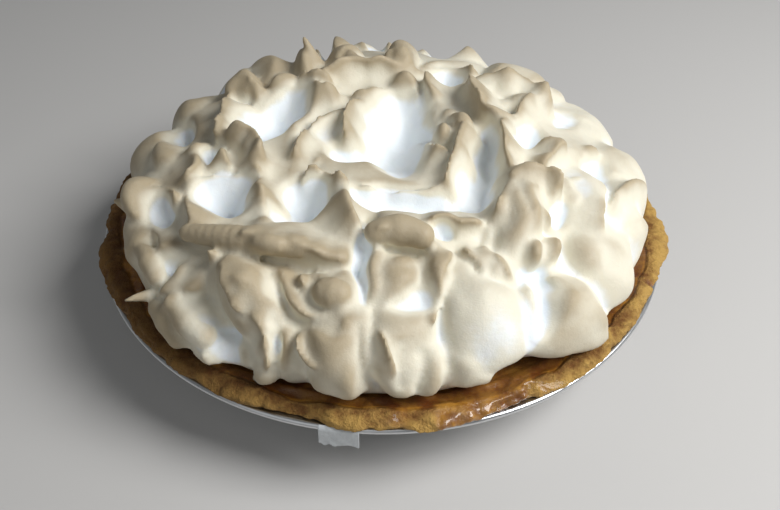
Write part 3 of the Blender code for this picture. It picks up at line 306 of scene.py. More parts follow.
# Small bumps on the masses: centre x, y, half sizes, turn in degrees, rise.
BUMPS = (
    (8, -74, 3.0, 2.6, 0, 1.3),
    (28, 14, 4.0, 5.0, 0, 2.4),
    (31, 3, 3.4, 4.4, 10, 2.2),
    (22, 1, 3.0, 4.0, 20, 1.8),
    (-60, 9, 4.0, 4.4, 0, 2.2),
    (-65, 3, 3.4, 4.0, 0, 1.8),
    (-54, -9, 3.0, 4.0, 20, 2.0),
    (72, -26, 4.0, 4.4, 0, 2.2),
    (66, -25, 3.0, 4.0, 30, 1.8),
    (75, -33, 3.0, 3.6, 0, 1.8),
    (90, 3, 3.4, 4.0, 0, 2.4),
    (-41, -99, 3.0, 3.0, 0, 2.2),
    (-38, -101, 2.2, 2.4, 0, 1.8),
    (-43, -102, 2.0, 2.2, 0, 1.4),
    (-64, 54, 5.0, 6.0, 10, 2.4),
    (-48, 48, 4.4, 5.0, 0, 2.2),
    (12, 57, 4.4, 5.0, 0, 2.0),
    (44, -76, 3.6, 3.0, 0, 1.6),
    (-103, -49, 3.0, 3.0, 0, 1.6),
)

# Grooves cut into the masses: start x, y, end x, y, bow to the left, depth, spread, roundness.
GROOVES = {
    "flame, crease": (-55, -79, -47, -90, -3, 2.0, 1.3, 0.6),
    "pleat, first crease": (8, -104, 10, -127, 0, 2.4, 1.4, 0.6),
    "pleat, second crease": (15, -107, 16, -126, 0, 2.0, 1.4, 0.6),
    "ruffle, crease": (26, -110, 28, -122, 1, 2.4, 1.6, 0.6),
    "front ball, crease": (-25, -82, -13, -98, -4, 3.0, 1.6, 0.6),
    "drapes, west crease": (43, -48, 42, -67, 1, 3.4, 1.8, 0.6),
    "drapes, middle crease": (55, -24, 51, -72, 1, 2.2, 1.5, 0.6),
    "drapes, east crease": (62, -30, 60, -70, 2, 3.4, 2.0, 0.7),
    "drapes, faint crease": (48, -24, 47, -56, 0, 1.4, 1.3, 0.6),
    "almond, crease": (-101, -44, -90, -70, 2, 3.4, 1.6, 0.6),
    "south west crease": (-92, -80, -70, -100, -3, 6.0, 2.4, 0.6),
    "south west crease, second": (-84, -78, -66, -84, 1, 3.0, 1.8, 0.6),
    "keyhole, crease": (16, -66, 10, -88, 3, 3.2, 1.5, 0.6),
    "front lobe, east crease": (-8, -97, 2, -126, -2, 3.0, 1.6, 0.6),
    "centre roll, crease": (-3, -66, 18, -67, -1, 3.0, 1.6, 0.6),
    "left roll, crease": (-62, -64, -14, -79, 0, 2.6, 1.6, 0.6),
    "tail, crease": (-44, -104, -55, -120, 1, 2.4, 1.5, 0.6),
    "apron, west crease": (24, -78, 22, -106, 0, 2.4, 1.6, 0.6),
    "south east lobe, crease": (62, -72, 61, -103, 0, 3.0, 1.8, 0.6),
    "front lobes, crease": (-31, -100, -37, -122, 1, 2.4, 1.6, 0.6),
    "north west crease": (-62, 40, -56, 22, 0, 3.0, 1.6, 0.6),
    "back hump, crease": (-22, 70, -6, 62, 2, 2.6, 1.8, 0.6),
    "north east crease": (50, 46, 60, 24, 2, 2.0, 2.0, 0.8),
}

# Short wrinkles side by side across the left roll: how many, first and last middle, half
# length, then bow, depth, spread and roundness as grooves have.
WRINKLES = 7
WRINKLE_FIRST = (-69, -54)
WRINKLE_LAST = (-53, -61)
WRINKLE_HALF_LENGTH = 3.6
WRINKLE_CUT = (0.8, 2.0, 0.9, 0.4)

# Where the foot draws back from the crust or, below nought, spreads over it: azimuth and half
# width in degrees, depth.
FOOT_BAYS = (
    (298, 9, 6.0),
    (272, 10, 1.0),
    (256, 4, 3.0),
    (250, 3, 5.0),
    (242, 4, 2.0),
    (316, 9, -4.0),
    (231, 7, -4.0),
    (214, 10, -3.0),
)
FOOT_BAY_RISE = 15 * MM

# Peaks drawn up by the spoon: foot x, y, length, thickness, heading in degrees, droop in degrees.
PEAKS = {
    "side spike": (-96, -72, 11, 5.0, 206, 58),
    "twisted knob": (-113, -20, 4, 6.0, 160, 30),
    "hook": (-34, 66, 11, 6.5, 150, 18),
    "horn tip": (-28, -19, 3, 3.6, 60, 40),
    "flame tip": (-61, -70, 7, 6.0, 110, 15),
    "drape tip": (76, -23, 3, 4.4, 20, 50),
}

# Fineness of the finished pieces
MAP_GRID = 400
SKIN_VOXEL = 1.12 * MM
TUBE_SIDES = 18
TURN_STEPS = 360
CRUST_TURN_STEPS = 900
CRUST_ROWS = 78
TAPE_ROWS = 40
TAPE_COLUMNS = 60

# Rows down the tin's section: all of those near the bead are kept, and one in so many elsewhere
TIN_ROWS = 700
TIN_ROW_STEP = 12
TIN_BEAD_ROWS = (330, 400)

# How many times over a surface is averaged to find its crests, its swells and its large forms
CREST_ROUNDS = 8
SWELL_ROUNDS = 50
FORM_ROUNDS = 215

# The photo's camera: how far it looks down, how far it leans, and its lens on a 36 mm sensor
CAMERA_PLACE = (3.45 * MM, -316.4 * MM, 286.5 * MM)
CAMERA_DOWN = 41.39
CAMERA_LEAN = 0.79
CAMERA_LENS = 41.54

# Soft lights: place, size of the square, power. Then how bright the room is.
LIGHTS = (
    ((0.63, -0.21, 0.75), 0.5, 10.6),
    ((-0.3, -0.7, 0.65), 0.9, 1.1),
)
ROOM_LIGHT = 0.12
ROOM_COLOUR = (0.93, 0.97, 1.0, 1.0)

# Colours
# The meringue's white is tinted blue: painted cool skylight in its hollows.
SKY_TINTED_WHITE = (0.85, 0.895, 0.93)
CREAM = (0.78, 0.74, 0.61)
TOASTED = (0.45, 0.375, 0.255)
BROWN_PASTRY = (0.16, 0.056, 0.007)
GOLDEN_PASTRY = (0.56, 0.34, 0.088)
PALE_FLECKS = (0.55, 0.37, 0.13)
# Pastry colour for painted shade on the crust's left side.
SHADED_PASTRY = (0.10, 0.033, 0.004)
BROWN_SYRUP = (0.15, 0.04, 0.004)
AMBER_SYRUP = (0.42, 0.19, 0.018)
# Dark syrup, partly painted shade under the meringue's foot.
DEEP_SYRUP_AND_SHADE = (0.08, 0.016, 0.003)
# The filling's colours are painted shade: dark red-brown where it lies under the meringue's foot.
SHADED_FILLING_DARK = (0.22, 0.06, 0.01)
SHADED_FILLING_PALE = (0.45, 0.20, 0.03)
DULL_TIN = (0.58, 0.59, 0.60)
BRIGHT_TIN = (0.74, 0.75, 0.76)
DULL_TAPE = (0.42, 0.45, 0.47)
CLOUDY_TAPE = (0.66, 0.68, 0.69)
FLOOR = (0.56, 0.55, 0.535)

# Roughness of the crust: the cell of each noise, and how far round its section it is, in
# millimetres.
LUMP_CELL = 9.0
CRAG_CELL = 3.6
CRUMB_CELL = 1.5
PATCH_CELL = 7.0
CRUST_GIRTH = 34.0

# Syrup spilt over the crust's edge: azimuth and half width in degrees, amount.
SPILLS = ((291, 14, 1.1), (338, 12, 0.6), (262, 20, 0.35))

# How much paler the basins are than their shape tells, and the depth of the palest ones
BASIN_PALENESS = 1.3
PALEST_BASIN = 8.5

# How far above the dome the toasted places are read
TOAST_READ_AT = 6.0

# Places toasted more than their shape tells, or less: centre x, y, half sizes, turn, amount.
# The darker ones are partly painted shade, as in the overhung keyhole crease, the shaded
# channel under the left roll and the back crests.
TOAST_AND_SHADE_PLACES = (
    (42, -95, 24, 20, 0, -0.65),
    (84, -98, 12, 10, 0, 0.3),
    (57, -86, 6, 18, 0, -0.8),
    (14, -91, 8, 7, 0, -0.25),
    (-80, -88, 9, 14, 32, 0.4),
    (-96, -84, 9, 12, 32, 0.3),
    (-20, -100, 26, 8, 0, 0.3),
    (8, -44, 26, 5, 0, -0.5),
    (-66, -96, 7, 8, 20, -0.4),
    (-74, -107, 18, 5, -18, -0.4),
    (-7, -78, 6, 22, 0, -0.7),
    (-99, -58, 7, 15, 24, 0.35),
    (-60, -58, 24, 9, -20, 0.5),
    (-95, -20, 20, 14, 0, 0.4),
    (42, 34, 7, 26, 0, 0.6),
    (64, -26, 18, 10, -10, 0.3),
    (54, -50, 14, 20, 0, 0.05),
    (-66, 52, 18, 14, 0, 1.1),
    (-36, 54, 18, 10, 0, 0.6),
    (8, 54, 12, 14, 0, 0.6),
    (-20, 72, 70, 12, 0, 0.5),
    (84, -86, 22, 16, 18, 0.25),
    (88, -16, 10, 18, 0, -0.6),
    (104, 10, 20, 40, 0, 0.3),
    (-88, -40, 8, 16, 10, -0.6),
    (-14, -112, 14, 14, 0, 0.2),
    (12, -70, 8, 5, 0, 0.4),
    (-34, -76, 14, 8, -25, 0.5),
    (6, 2, 22, 38, 0, -0.3),
    (-62, -41, 18, 14, -22, -0.5),
    (-30, -45, 13, 14, 10, -0.3),
    (-64, 28, 8, 16, 0, -0.6),
    (-45, 10, 16, 26, -28, -0.4),
)


# Pieces


def skin(name, points, faces):
    """A mesh from arrays of points and of faces that all have the same number of corners."""
    mesh = bpy.data.meshes.new(name)
    corners = faces.shape[1]
    mesh.vertices.add(len(points))
    mesh.vertices.foreach_set("co", points.astype(np.float32).ravel())
    mesh.loops.add(faces.size)
    mesh.loops.foreach_set("vertex_index", faces.astype(np.int32).ravel())
    mesh.polygons.add(len(faces))
    mesh.polygons.foreach_set("loop_start", np.arange(0, faces.size, corners, dtype=np.int32))
    mesh.polygons.foreach_set("loop_total", np.full(len(faces), corners, np.int32))
    mesh.update(calc_edges=True)
    mesh.validate()
    mesh.shade_smooth()
    return mesh


def placed(name, data):
    """An object of the scene that shows a mesh, a light or a camera."""
    made = bpy.data.objects.new(name, data)
    bpy.context.scene.collection.objects.link(made)
    return made


def piece(name, mesh, material, node):
    """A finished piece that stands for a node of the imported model."""
    made = placed(name, mesh)
    mesh.materials.clear()
    mesh.materials.append(material)
    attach(made, "root")
    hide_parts(node)
    return made


def sheet_faces(rows, columns, closed_rows=False, closed_columns=False):
    """Quads of a grid of points, row by row, which may close on itself either way."""
    index = np.arange(rows * columns).reshape(rows, columns)
    if closed_rows:
        index = np.concatenate([index, index[:1]])
    if closed_columns:
        index = np.concatenate([index, index[:, :1]], 1)
    quads = [index[:-1, :-1], index[:-1, 1:], index[1:, 1:], index[1:, :-1]]
    return np.stack(quads, -1).reshape(-1, 4)


def give(mesh, name, values):
    """Stores one number per point under a name that materials read."""
    layer = mesh.attributes.new(name, "FLOAT", "POINT")
    layer.data.foreach_set("value", np.asarray(values, np.float32).ravel())


def turned(profile, steps):
    """Points of a profile of (radius, height) pairs turned about Z: each row is one section."""
    angle = np.linspace(0, 2 * np.pi, steps, endpoint=False)[:, None]
    radius, height = np.asarray(profile, float).T
    return np.stack([radius * np.cos(angle), radius * np.sin(angle), height + 0 * angle], -1)


def resampled(profile, count, rounding):
    """The profile at even steps along it, its corners softened by repeated averaging."""
    profile = np.asarray(profile, float)
    walked = np.concatenate([[0], np.cumsum(np.hypot(*np.diff(profile, axis=0).T))])
    even = np.linspace(0, walked[-1], count)
    out = np.stack([np.interp(even, walked, profile[:, i]) for i in (0, 1)], -1)
    for _ in range(rounding):
        out[1:-1] = (out[:-2] + 2 * out[1:-1] + out[2:]) / 4
    return out


# Materials


class Value:
    """A number inside a material. Arithmetic on it adds Math nodes."""

    def __init__(self, socket):
        self.socket = socket

    def math(self, operation, *operands):
        tree = self.socket.id_data
        made = tree.nodes.new("ShaderNodeMath")
        made.operation = operation
        for slot, operand in zip(made.inputs, operands):
            connect(slot, operand)
        return Value(made.outputs[0])

    def __add__(self, other):
        return self.math("ADD", self, other)

    def __sub__(self, other):
        return self.math("SUBTRACT", self, other)

    def __rsub__(self, other):
        return self.math("SUBTRACT", other, self)

    def __mul__(self, other):
        return self.math("MULTIPLY", self, other)

    __radd__ = __add__
    __rmul__ = __mul__


def connect(slot, what):
    """Puts a value, a colour or a plain number into an input."""
    if isinstance(what, Value):
        slot.id_data.links.new(what.socket, slot)
    elif isinstance(what, tuple) and len(what) == 3 and slot.type == "RGBA":
        slot.default_value = (*what, 1.0)
    else:
        slot.default_value = what


class Paint:
    """A material with one Principled shader, and short ways to add what feeds it."""

    def __init__(self, name, **inputs):
        self.material = bpy.data.materials.new(name)
        self.material.use_nodes = True
        self.tree = self.material.node_tree
        self.shader = self.tree.nodes["Principled BSDF"]
        for key, what in inputs.items():
            self.put(key.replace("_", " "), what)

    def put(self, name, what):
        connect(self.shader.inputs[name], what)

    def node(self, kind, settings, inputs):
        """Any node, with its settings and its inputs by name or number."""
        made = self.tree.nodes.new(kind)
        for key, what in settings.items():
            setattr(made, key, what)
        for key, what in inputs.items():
            connect(made.inputs[key], what)
        return made

    def place(self):
        return Value(self.node("ShaderNodeTexCoord", {}, {}).outputs["Object"])

    def along(self, axis):
        """How far along X, Y or Z."""
        parts = self.node("ShaderNodeSeparateXYZ", {}, {0: self.place()})
        return Value(parts.outputs[axis])

    def attribute(self, name):
        return Value(self.node("ShaderNodeAttribute", {"attribute_name": name}, {}).outputs["Fac"])

    def noise(self, scale, detail=3.0, roughness=0.55, stretch=None):
        """Noise from 0 to 1 over the object's own coordinates, in features per metre."""
        where = self.place()
        if stretch:
            settings = {"operation": "MULTIPLY"}
            scaled = self.node("ShaderNodeVectorMath", settings, {0: where, 1: stretch})
            where = Value(scaled.outputs[0])
        inputs = {"Vector": where, "Scale": scale, "Detail": detail, "Roughness": roughness}
        return Value(self.node("ShaderNodeTexNoise", {}, inputs).outputs[0])

    def ramp(self, value, low, high):
        """Rises smoothly from 0 at low to 1 at high."""
        inputs = {0: value, 1: low, 2: high}
        settings = {"interpolation_type": "SMOOTHSTEP"}
        return Value(self.node("ShaderNodeMapRange", settings, inputs).outputs[0])

    def mix(self, share, first, second):
        """A colour between two."""
        settings = {"data_type": "RGBA"}
        made = self.node("ShaderNodeMix", settings, {0: share})
        connect(made.inputs[6], first)
        connect(made.inputs[7], second)
        return Value(made.outputs[2])

    def bump(self, height, distance):
        inputs = {"Height": height, "Distance": distance}
        self.put("Normal", Value(self.node("ShaderNodeBump", {}, inputs).outputs[0]))


# The meringue's relief


def smooth_step(value):
    t = np.clip(value, 0.0, 1.0)
    return t * t * (3 - 2 * t)


def noise(x, y, cell, seed):
    """Smooth noise from -1 to 1: random values on a square lattice of that cell, blended."""
    lattice = np.random.default_rng(seed).uniform(-1, 1, (64, 64))
    u = x / cell
    v = y / cell
    column = np.floor(u).astype(int)
    row = np.floor(v).astype(int)
    across = smooth_step(u - column)
    along = smooth_step(v - row)

    def at(i, j):
        return lattice[(row + j) % 64, (column + i) % 64]

    near = at(0, 0) * (1 - across) + at(1, 0) * across
    far = at(0, 1) * (1 - across) + at(1, 1) * across
    return near * (1 - along) + far * along


def ring_noise(angle, waves, seed):
    """A periodic wave round the pie, from -1 to 1, summed from a few seeded harmonics."""
    draw = np.random.default_rng(seed)
    total = np.zeros_like(angle)
    for wave in waves:
        total += np.cos(wave * angle + draw.uniform(0, 2 * np.pi))
    return total / len(waves)


def arc(centre, radius, first, last, count):
    """Points of an arc in the profile's plane, from the first to the last angle in degrees."""
    angles = np.radians(np.linspace(first, last, count))
    return [(centre[0] + radius * math.cos(a), centre[1] + radius * math.sin(a)) for a in angles]


def bead_centre():
    return TIN_RIM_RADIUS - TIN_BEAD, TIN_DEPTH - 0.1 * MM


@functools.lru_cache(maxsize=None)
def dome_section():
    """Radius, height and arc length down the dome, a rounded box section, from top to foot."""
    turn = np.linspace(0, np.pi / 2, 1500)
    radius = DOME_RADIUS * np.sin(turn) ** (2 / DOME_SQUARENESS)
    height = DOME_HEIGHT * np.cos(turn)
    arc_length = np.concatenate([[0], np.cumsum(np.hypot(np.diff(radius), np.diff(height)))])
    return radius, height, arc_length


def underside(radius):
    """Height of the meringue's underside: flat on the filling, lifted over the crust's edge."""
    over = smooth_step((radius - 105 * MM) / (9 * MM))
    return MERINGUE_FOOT + MERINGUE_LIFT_OVER_CRUST * over


def dome_frame(x, y):
    """At map points: radius and height on the dome in millimetres, the unit vector away from
    the middle, and the outward and upward shares of the dome's normal."""
    radius, height, arc_length = (values / MM for values in dome_section())
    reach = np.hypot(x, y)
    away_x = x / np.maximum(reach, 1e-6)
    away_y = y / np.maximum(reach, 1e-6)
    down = np.clip(reach, 0, arc_length[-1])
    step = 0.5
    run = np.interp(down + step, arc_length, radius) - np.interp(down - step, arc_length, radius)
    drop = np.interp(down + step, arc_length, height) - np.interp(down - step, arc_length, height)
    size = np.maximum(np.hypot(run, drop), 1e-9)
    out = -drop / size
    up = run / size
    r = np.interp(down, arc_length, radius)
    z = np.interp(down, arc_length, height)
    return r, z, away_x, away_y, out, up


def settled(x, y, rise):
    """Where a place belongs that reads at (x, y) on the map but stands that far above the dome.

    The eye's line of sight to it meets the bare dome beyond it, so what stands high reads too far
    back. The place is moved back along the dome by rise times the slant of that line.
    """
    x = np.asarray(x, float)
    y = np.asarray(y, float)
    r, z, away_x, away_y, out, up = dome_frame(x, y)
    sight_x = r * away_x - MAP_EYE[0]
    sight_y = r * away_y - MAP_EYE[1]
    sight_z = z + MERINGUE_FOOT / MM - MAP_EYE[2]
    level = sight_x * away_x + sight_y * away_y
    around = sight_y * away_x - sight_x * away_y
    facing = level * out + sight_z * up
    distance = np.sqrt(sight_x**2 + sight_y**2 + sight_z**2)
    facing = np.minimum(facing, -GRAZING_SIGHT * distance)
    along = rise * (level * up - sight_z * out) / facing
    turned_by = rise * around / facing * np.hypot(x, y) / np.maximum(r, 1.0)
    return x + along * away_x - turned_by * away_y, y + along * away_y + turned_by * away_x


def strayed(x, y):
    """Map points moved by slow noise, which makes every outline wander."""
    wander_x, wander_y = (
        SLOW_STRAY * noise(x, y, SLOW_CELL, seed) + QUICK_STRAY * noise(x, y, QUICK_CELL, seed + 1)
        for seed in STRAY_SEEDS
    )
    return x + wander_x, y + wander_y


def ground(x, y):
    """Height above the dome, in millimetres, of the undulating dome with its basins."""
    height = DOME_UNDULATION / MM * noise(x, y, UNDULATION_CELL, 35)
    height += CRINKLE * (0.5 - 1.4 * np.abs(noise(x, y, CRINKLE_CELL, 36)))
    for basin in BASINS:
        share = ellipse_share(x, y, *basin_centre(basin), *basin[2:5])
        height -= BASIN_DEPTH * basin[5] * np.clip(1 - share**2, 0, 1) ** BASIN_PROFILE
    return height


@functools.lru_cache(maxsize=None)
def basin_centre(basin):
    """The place of a basin's centre on the map."""
    sunk = -BASIN_READ_AT * BASIN_DEPTH * basin[5]
    centre_x, centre_y = strayed(*settled(basin[0], basin[1], sunk))
    return float(centre_x), float(centre_y)


def sighted(x, y, place, rise_at):
    """Where a thing that reads at (x, y) belongs, when rise_at says how high it stands anywhere.

    The place is a first guess, and is averaged with each better one in turn.
    """
    for _ in range(SIGHT_ROUNDS):
        place = (place + np.stack(settled(x, y, rise_at(*strayed(*place))))) / 2
    return strayed(*place)


def stood(x, y, height):
    """Where a thing that reads at (x, y) and stands that far above the ground belongs."""
    x = np.atleast_1d(np.asarray(x, float))
    y = np.atleast_1d(np.asarray(y, float))
    place = np.stack(settled(x, y, height))
    return sighted(x, y, place, lambda at_x, at_y: height + ground(at_x, at_y))


def bowed_line(x0, y0, x1, y1, bow, count):
    """Points on the line between two places that bows to its left, and that left as a unit."""
    along = np.array([x1 - x0, y1 - y0], float)
    left = np.array([-along[1], along[0]]) / np.hypot(*along)
    middle = np.array([x0 + x1, y0 + y1]) / 2 + 2 * bow * left
    t = np.linspace(0, 1, count)[:, None]
    ends = (1 - t) ** 2 * np.array([x0, y0]), t**2 * np.array([x1, y1])
    return ends[0] + 2 * t * (1 - t) * middle + ends[1], left


def along_line(line, x, y):
    """For map points: how far from a line of points, what share of the way along it, and a
    number above nought on its left."""
    nearest = np.full(x.shape, 1e9)
    share = np.zeros_like(x)
    aside = np.zeros_like(x)
    for i in range(len(line) - 1):
        step = line[i + 1] - line[i]
        dx = x - line[i][0]
        dy = y - line[i][1]
        along = np.clip((dx * step[0] + dy * step[1]) / (step @ step), 0, 1)
        away = np.hypot(dx - along * step[0], dy - along * step[1])
        closer = away < nearest
        nearest = np.where(closer, away, nearest)
        share = np.where(closer, (i + along) / (len(line) - 1), share)
        aside = np.where(closer, step[0] * dy - step[1] * dx, aside)
    return nearest, share, aside


@functools.lru_cache(maxsize=None)
def crest_line(fold):
    """Points along a fold's foot, set so that its leaning crest reads between its ends."""
    crest, left = bowed_line(*fold[:5], 13)
    places = stood(crest[:, 0], crest[:, 1], FOLD_READ_AT * FOLD_HEIGHT * fold[5])
    return np.stack(places, -1) - FOLD_READ_AT * FOLD_HEIGHT * fold[8] * left


def fold_rise(x, y, fold):
    """Rise and sideways push of one fold, in millimetres, at map points.

    Across the crest, the rise falls off exponentially from a rounded top, twice as fast on the
    side it leans to. Along it, the rise ripples a little and tapers to both ends.
    """
    height = fold[5] * FOLD_HEIGHT
    spread = fold[6] * FOLD_SPREAD
    roundness = fold[7]
    lean = fold[8] * FOLD_HEIGHT
    crest = crest_line(fold)
    nearest, share, aside = along_line(crest, x, y)
    length = np.hypot(*(crest[-1] - crest[0]))
    side = 1.0 if lean >= 0 else -1.0
    fall = np.where(aside * side > 0, 0.5 * spread, spread)
    across = np.exp(-(np.sqrt(nearest**2 + roundness**2) - roundness) / fall)
    across *= smooth_step((FOLD_REACH * spread - nearest) / (2 * spread))
    taper = (1 - (2 * share - 1) ** 4) ** 0.7
    start = crest[0][0] + 0 * share
    ripple = 1 + CREST_RIPPLE * noise(share * length, start, CREST_RIPPLE_CELL, 41)
    rise = height * across * (0.25 + 0.75 * taper) * ripple
    push = lean * across**2 * taper
    left = np.array([-(crest[-1] - crest[0])[1], (crest[-1] - crest[0])[0]]) / length
    return rise, push * left[0], push * left[1]


def within(x, y, line, margin):
    """Which map points lie in the box round a line of points, made larger by a margin."""
    x_least, y_least = line.min(0) - margin
    x_most, y_most = line.max(0) + margin
    return (x > x_least) & (x < x_most) & (y > y_least) & (y < y_most)


def ellipse_share(x, y, centre_x, centre_y, half_x, half_y, turn):
    """Distance from an ellipse's centre, as a share of its half size in that direction."""
    c = math.cos(math.radians(turn))
    s = math.sin(math.radians(turn))
    dx = x - centre_x
    dy = y - centre_y
    return np.hypot((dx * c + dy * s) / half_x, (dy * c - dx * s) / half_y)


def back_lobes():
    """Lobes at seeded sizes round the part of the wall that faces away."""
    draw = np.random.default_rng(23)
    lobes = []
    for number in range(BACK_LOBES):
        sweep = BACK_LOBE_SWEEP * (number + draw.uniform(-0.25, 0.25)) / (BACK_LOBES - 1)
        azimuth = math.radians(BACK_LOBE_FIRST + sweep)
        reach = draw.uniform(*BACK_LOBE_PLACE)
        half = BACK_LOBE_WIDTH * draw.uniform(0.75, 1.1)
        turn = math.degrees(azimuth) - 90
        place = (reach * math.cos(azimuth), reach * math.sin(azimuth))
        lobes.append((*place, half * 0.8, half * 1.1, turn, draw.uniform(*BACK_LOBE_RISE)))
    return lobes


def masses(x, y):
    """Height above the dome and sideways push, in millimetres, with folds and lobes.

    Where folds and lobes meet, the higher one wins through a power mean, which leaves a crease.
    """
    power = MEETING_POWER
    total = np.zeros_like(x)
    push_x = np.zeros_like(x)
    push_y = np.zeros_like(x)
    for fold in FOLDS.values():
        near = within(x, y, crest_line(fold), FOLD_REACH * fold[6] * FOLD_SPREAD)
        rise, lean_x, lean_y = fold_rise(x[near], y[near], fold)
        weight = rise**power
        total[near] += weight
        push_x[near] += weight * lean_x
        push_y[near] += weight * lean_y
    uneven = 1 + UNEVENNESS * noise(x, y, UNEVENNESS_CELL, 43)
    for lobe in (*LOBES, *back_lobes()):
        centre = lobe_centre(lobe)
        share = ellipse_share(x, y, *centre, *lobe[2:5])
        inside = share < 1
        edge = FULL_PROFILE if lobe[5] > SOFT_LOBE else SOFT_PROFILE
        rise = LOBE_HEIGHT * lobe[5] * uneven[inside] * (1 - share[inside] ** 2) ** edge
        total[inside] += rise**power
    weight = np.maximum(total, 1e-6)
    return ground(x, y) + total ** (1 / power), push_x / weight, push_y / weight


@functools.lru_cache(maxsize=None)
def lobe_centre(lobe):
    """The place of a lobe's centre on the map."""
    centre_x, centre_y = stood(lobe[0], lobe[1], LOBE_READ_AT * LOBE_HEIGHT * lobe[5])
    return float(centre_x[0]), float(centre_y[0])


@functools.lru_cache(maxsize=None)
def small_places():
    """Bumps, and grooves with the wrinkles among them, each moved to where it lies."""

    def laid(x, y):
        x = np.asarray(x, float)
        y = np.asarray(y, float)
        return sighted(x, y, np.stack([x, y]), lambda at_x, at_y: masses(at_x, at_y)[0])

    bumps = []
    for bump in BUMPS:
        x, y = laid([bump[0]], [bump[1]])
        bumps.append((x[0], y[0], *bump[2:]))
    cuts = list(GROOVES.values())
    first = np.array(WRINKLE_FIRST, float)
    last = np.array(WRINKLE_LAST, float)
    across = np.array([first[1] - last[1], last[0] - first[0]]) / np.hypot(*(last - first))
    for share in np.linspace(0, 1, WRINKLES):
        middle = first + share * (last - first)
        start = middle - WRINKLE_HALF_LENGTH * across
        end = middle + WRINKLE_HALF_LENGTH * across
        cuts.append((*start, *end, *WRINKLE_CUT))
    grooves = []
    for groove in cuts:
        x, y = laid([groove[0], groove[2]], [groove[1], groove[3]])
        grooves.append((x[0], y[0], x[1], y[1], *groove[4:]))
    return tuple(bumps), tuple(grooves)


def groove_depth(x, y, groove):
    """Depth of one groove at map points: a sharp crease that tapers to both ends."""
    nearest, share, _ = along_line(bowed_line(*groove[:5], 9)[0], x, y)
    depth, spread, roundness = groove[5:8]
    across = np.exp(-(np.sqrt(nearest**2 + roundness**2) - roundness) / spread)
    return depth * across * np.sqrt(np.clip(1 - (2 * share - 1) ** 4, 0, 1))


def relief(x, y):
    """Height above the dome and sideways push, in millimetres, of the whole meringue."""
    x, y = strayed(x, y)
    rise, push_x, push_y = masses(x, y)
    bumps, grooves = small_places()
    for bump in bumps:
        share = ellipse_share(x, y, *bump[:5])
        rise += bump[5] * np.sqrt(np.clip(1 - share**2, 0, 1))
    for groove in grooves:
        ends = np.array([groove[0:2], groove[2:4]])
        near = within(x, y, ends, 5 * groove[6] + abs(groove[4]))
        rise[near] -= groove_depth(x[near], y[near], groove)
    return rise, push_x, push_y


def on_meringue(x, y):
    """Positions in metres, and outward normals, of map points on the swirled surface."""
    rise, push_x, push_y = relief(x, y)
    x = x + push_x
    y = y + push_y
    r, z, away_x, away_y, out, up = dome_frame(x, y)
    r = (r + rise * out) * MM
    z = (z + rise * up) * MM + MERINGUE_FOOT
    tuck = smooth_step((MERINGUE_FOOT + FOOT_TUCK_RISE - z) / FOOT_TUCK_RISE)
    r = r - FOOT_TUCK * tuck**2
    low = smooth_step((MERINGUE_FOOT + FOOT_BAY_RISE - z) / FOOT_BAY_RISE)
    azimuth = np.degrees(np.arctan2(y, x))
    for bay_azimuth, half_width, depth in FOOT_BAYS:
        apart = np.abs((azimuth - bay_azimuth + 180) % 360 - 180) / half_width
        r = r - depth * MM * low * np.clip(1 - apart**2, 0, 1) ** 2
    rim = dome_section()[2][-1] / MM
    z = np.maximum(z, underside(r) + THIN_RIM * smooth_step((rim - np.hypot(x, y)) / 6))
    points = np.stack([r * away_x, r * away_y, z], -1)
    normals = np.stack([out * away_x, out * away_y, up], -1)
    return points, normals


# Named lumps and notches of the crust's edge: azimuth in degrees, half width, and how far out.
EDGE_LUMPS = (
    (350, 7, 3.6),
    (282, 6, 2.6),
    (257, 4, -2.4),
    (292, 5, -1.4),
    (330, 8, -1.0),
    (200, 9, 1.2),
)


def edge_wander(angle):
    """How far the crust's edge strays outwards at each angle round the pie."""
    out = CRUST_WANDER * ring_noise(angle, (7, 11, 17, 23, 31), 5)
    for azimuth, width, reach in EDGE_LUMPS:
        turn = (np.degrees(angle) - azimuth + 180) % 360 - 180
        out += reach * MM * np.exp(-((turn / width) ** 2))
    return out


def crust_outline():
    """Section of the pastry above the tin: up its inner wall, over the edge, down to the flange."""
    top = TIN_DEPTH + CRUST_RISE
    edge = CRUST_EDGE_RADIUS
    return [
        (edge - 26.0 * MM, FILLING_TOP + 0.2 * MM),
        (edge - 18.0 * MM, FILLING_TOP + 0.3 * MM),
        (edge - 14.4 * MM, FILLING_TOP + 0.5 * MM),
        (edge - 12.4 * MM, FILLING_TOP + 1.6 * MM),
        (edge - 9.0 * MM, top - 1.2 * MM),
        (edge - 5.6 * MM, top - 0.1 * MM),
        (edge - 2.4 * MM, top - 0.7 * MM),
        (edge - 0.3 * MM, top - 2.4 * MM),
        (edge, TIN_DEPTH + 2.6 * MM),
        (edge - 0.6 * MM, TIN_DEPTH + 1.4 * MM),
        (edge - 2.6 * MM, TIN_DEPTH + 1.1 * MM),
    ]


# The meringue


def disc_map():
    """Map points of a square grid pressed into a disc: each of its two numbers times the root of
    one less half the other's square."""
    rim = dome_section()[2][-1] / MM
    line = np.linspace(-1, 1, MAP_GRID)
    u, v = np.meshgrid(line, line)
    return rim * u * np.sqrt(1 - v * v / 2), rim * v * np.sqrt(1 - u * u / 2)


def grid_rim(count):
    """Indices round the edge of a square grid, counter-clockwise."""
    index = np.arange(count * count).reshape(count, count)
    return np.concatenate([index[0, :-1], index[:-1, -1], index[-1, :0:-1], index[:0:-1, 0]])


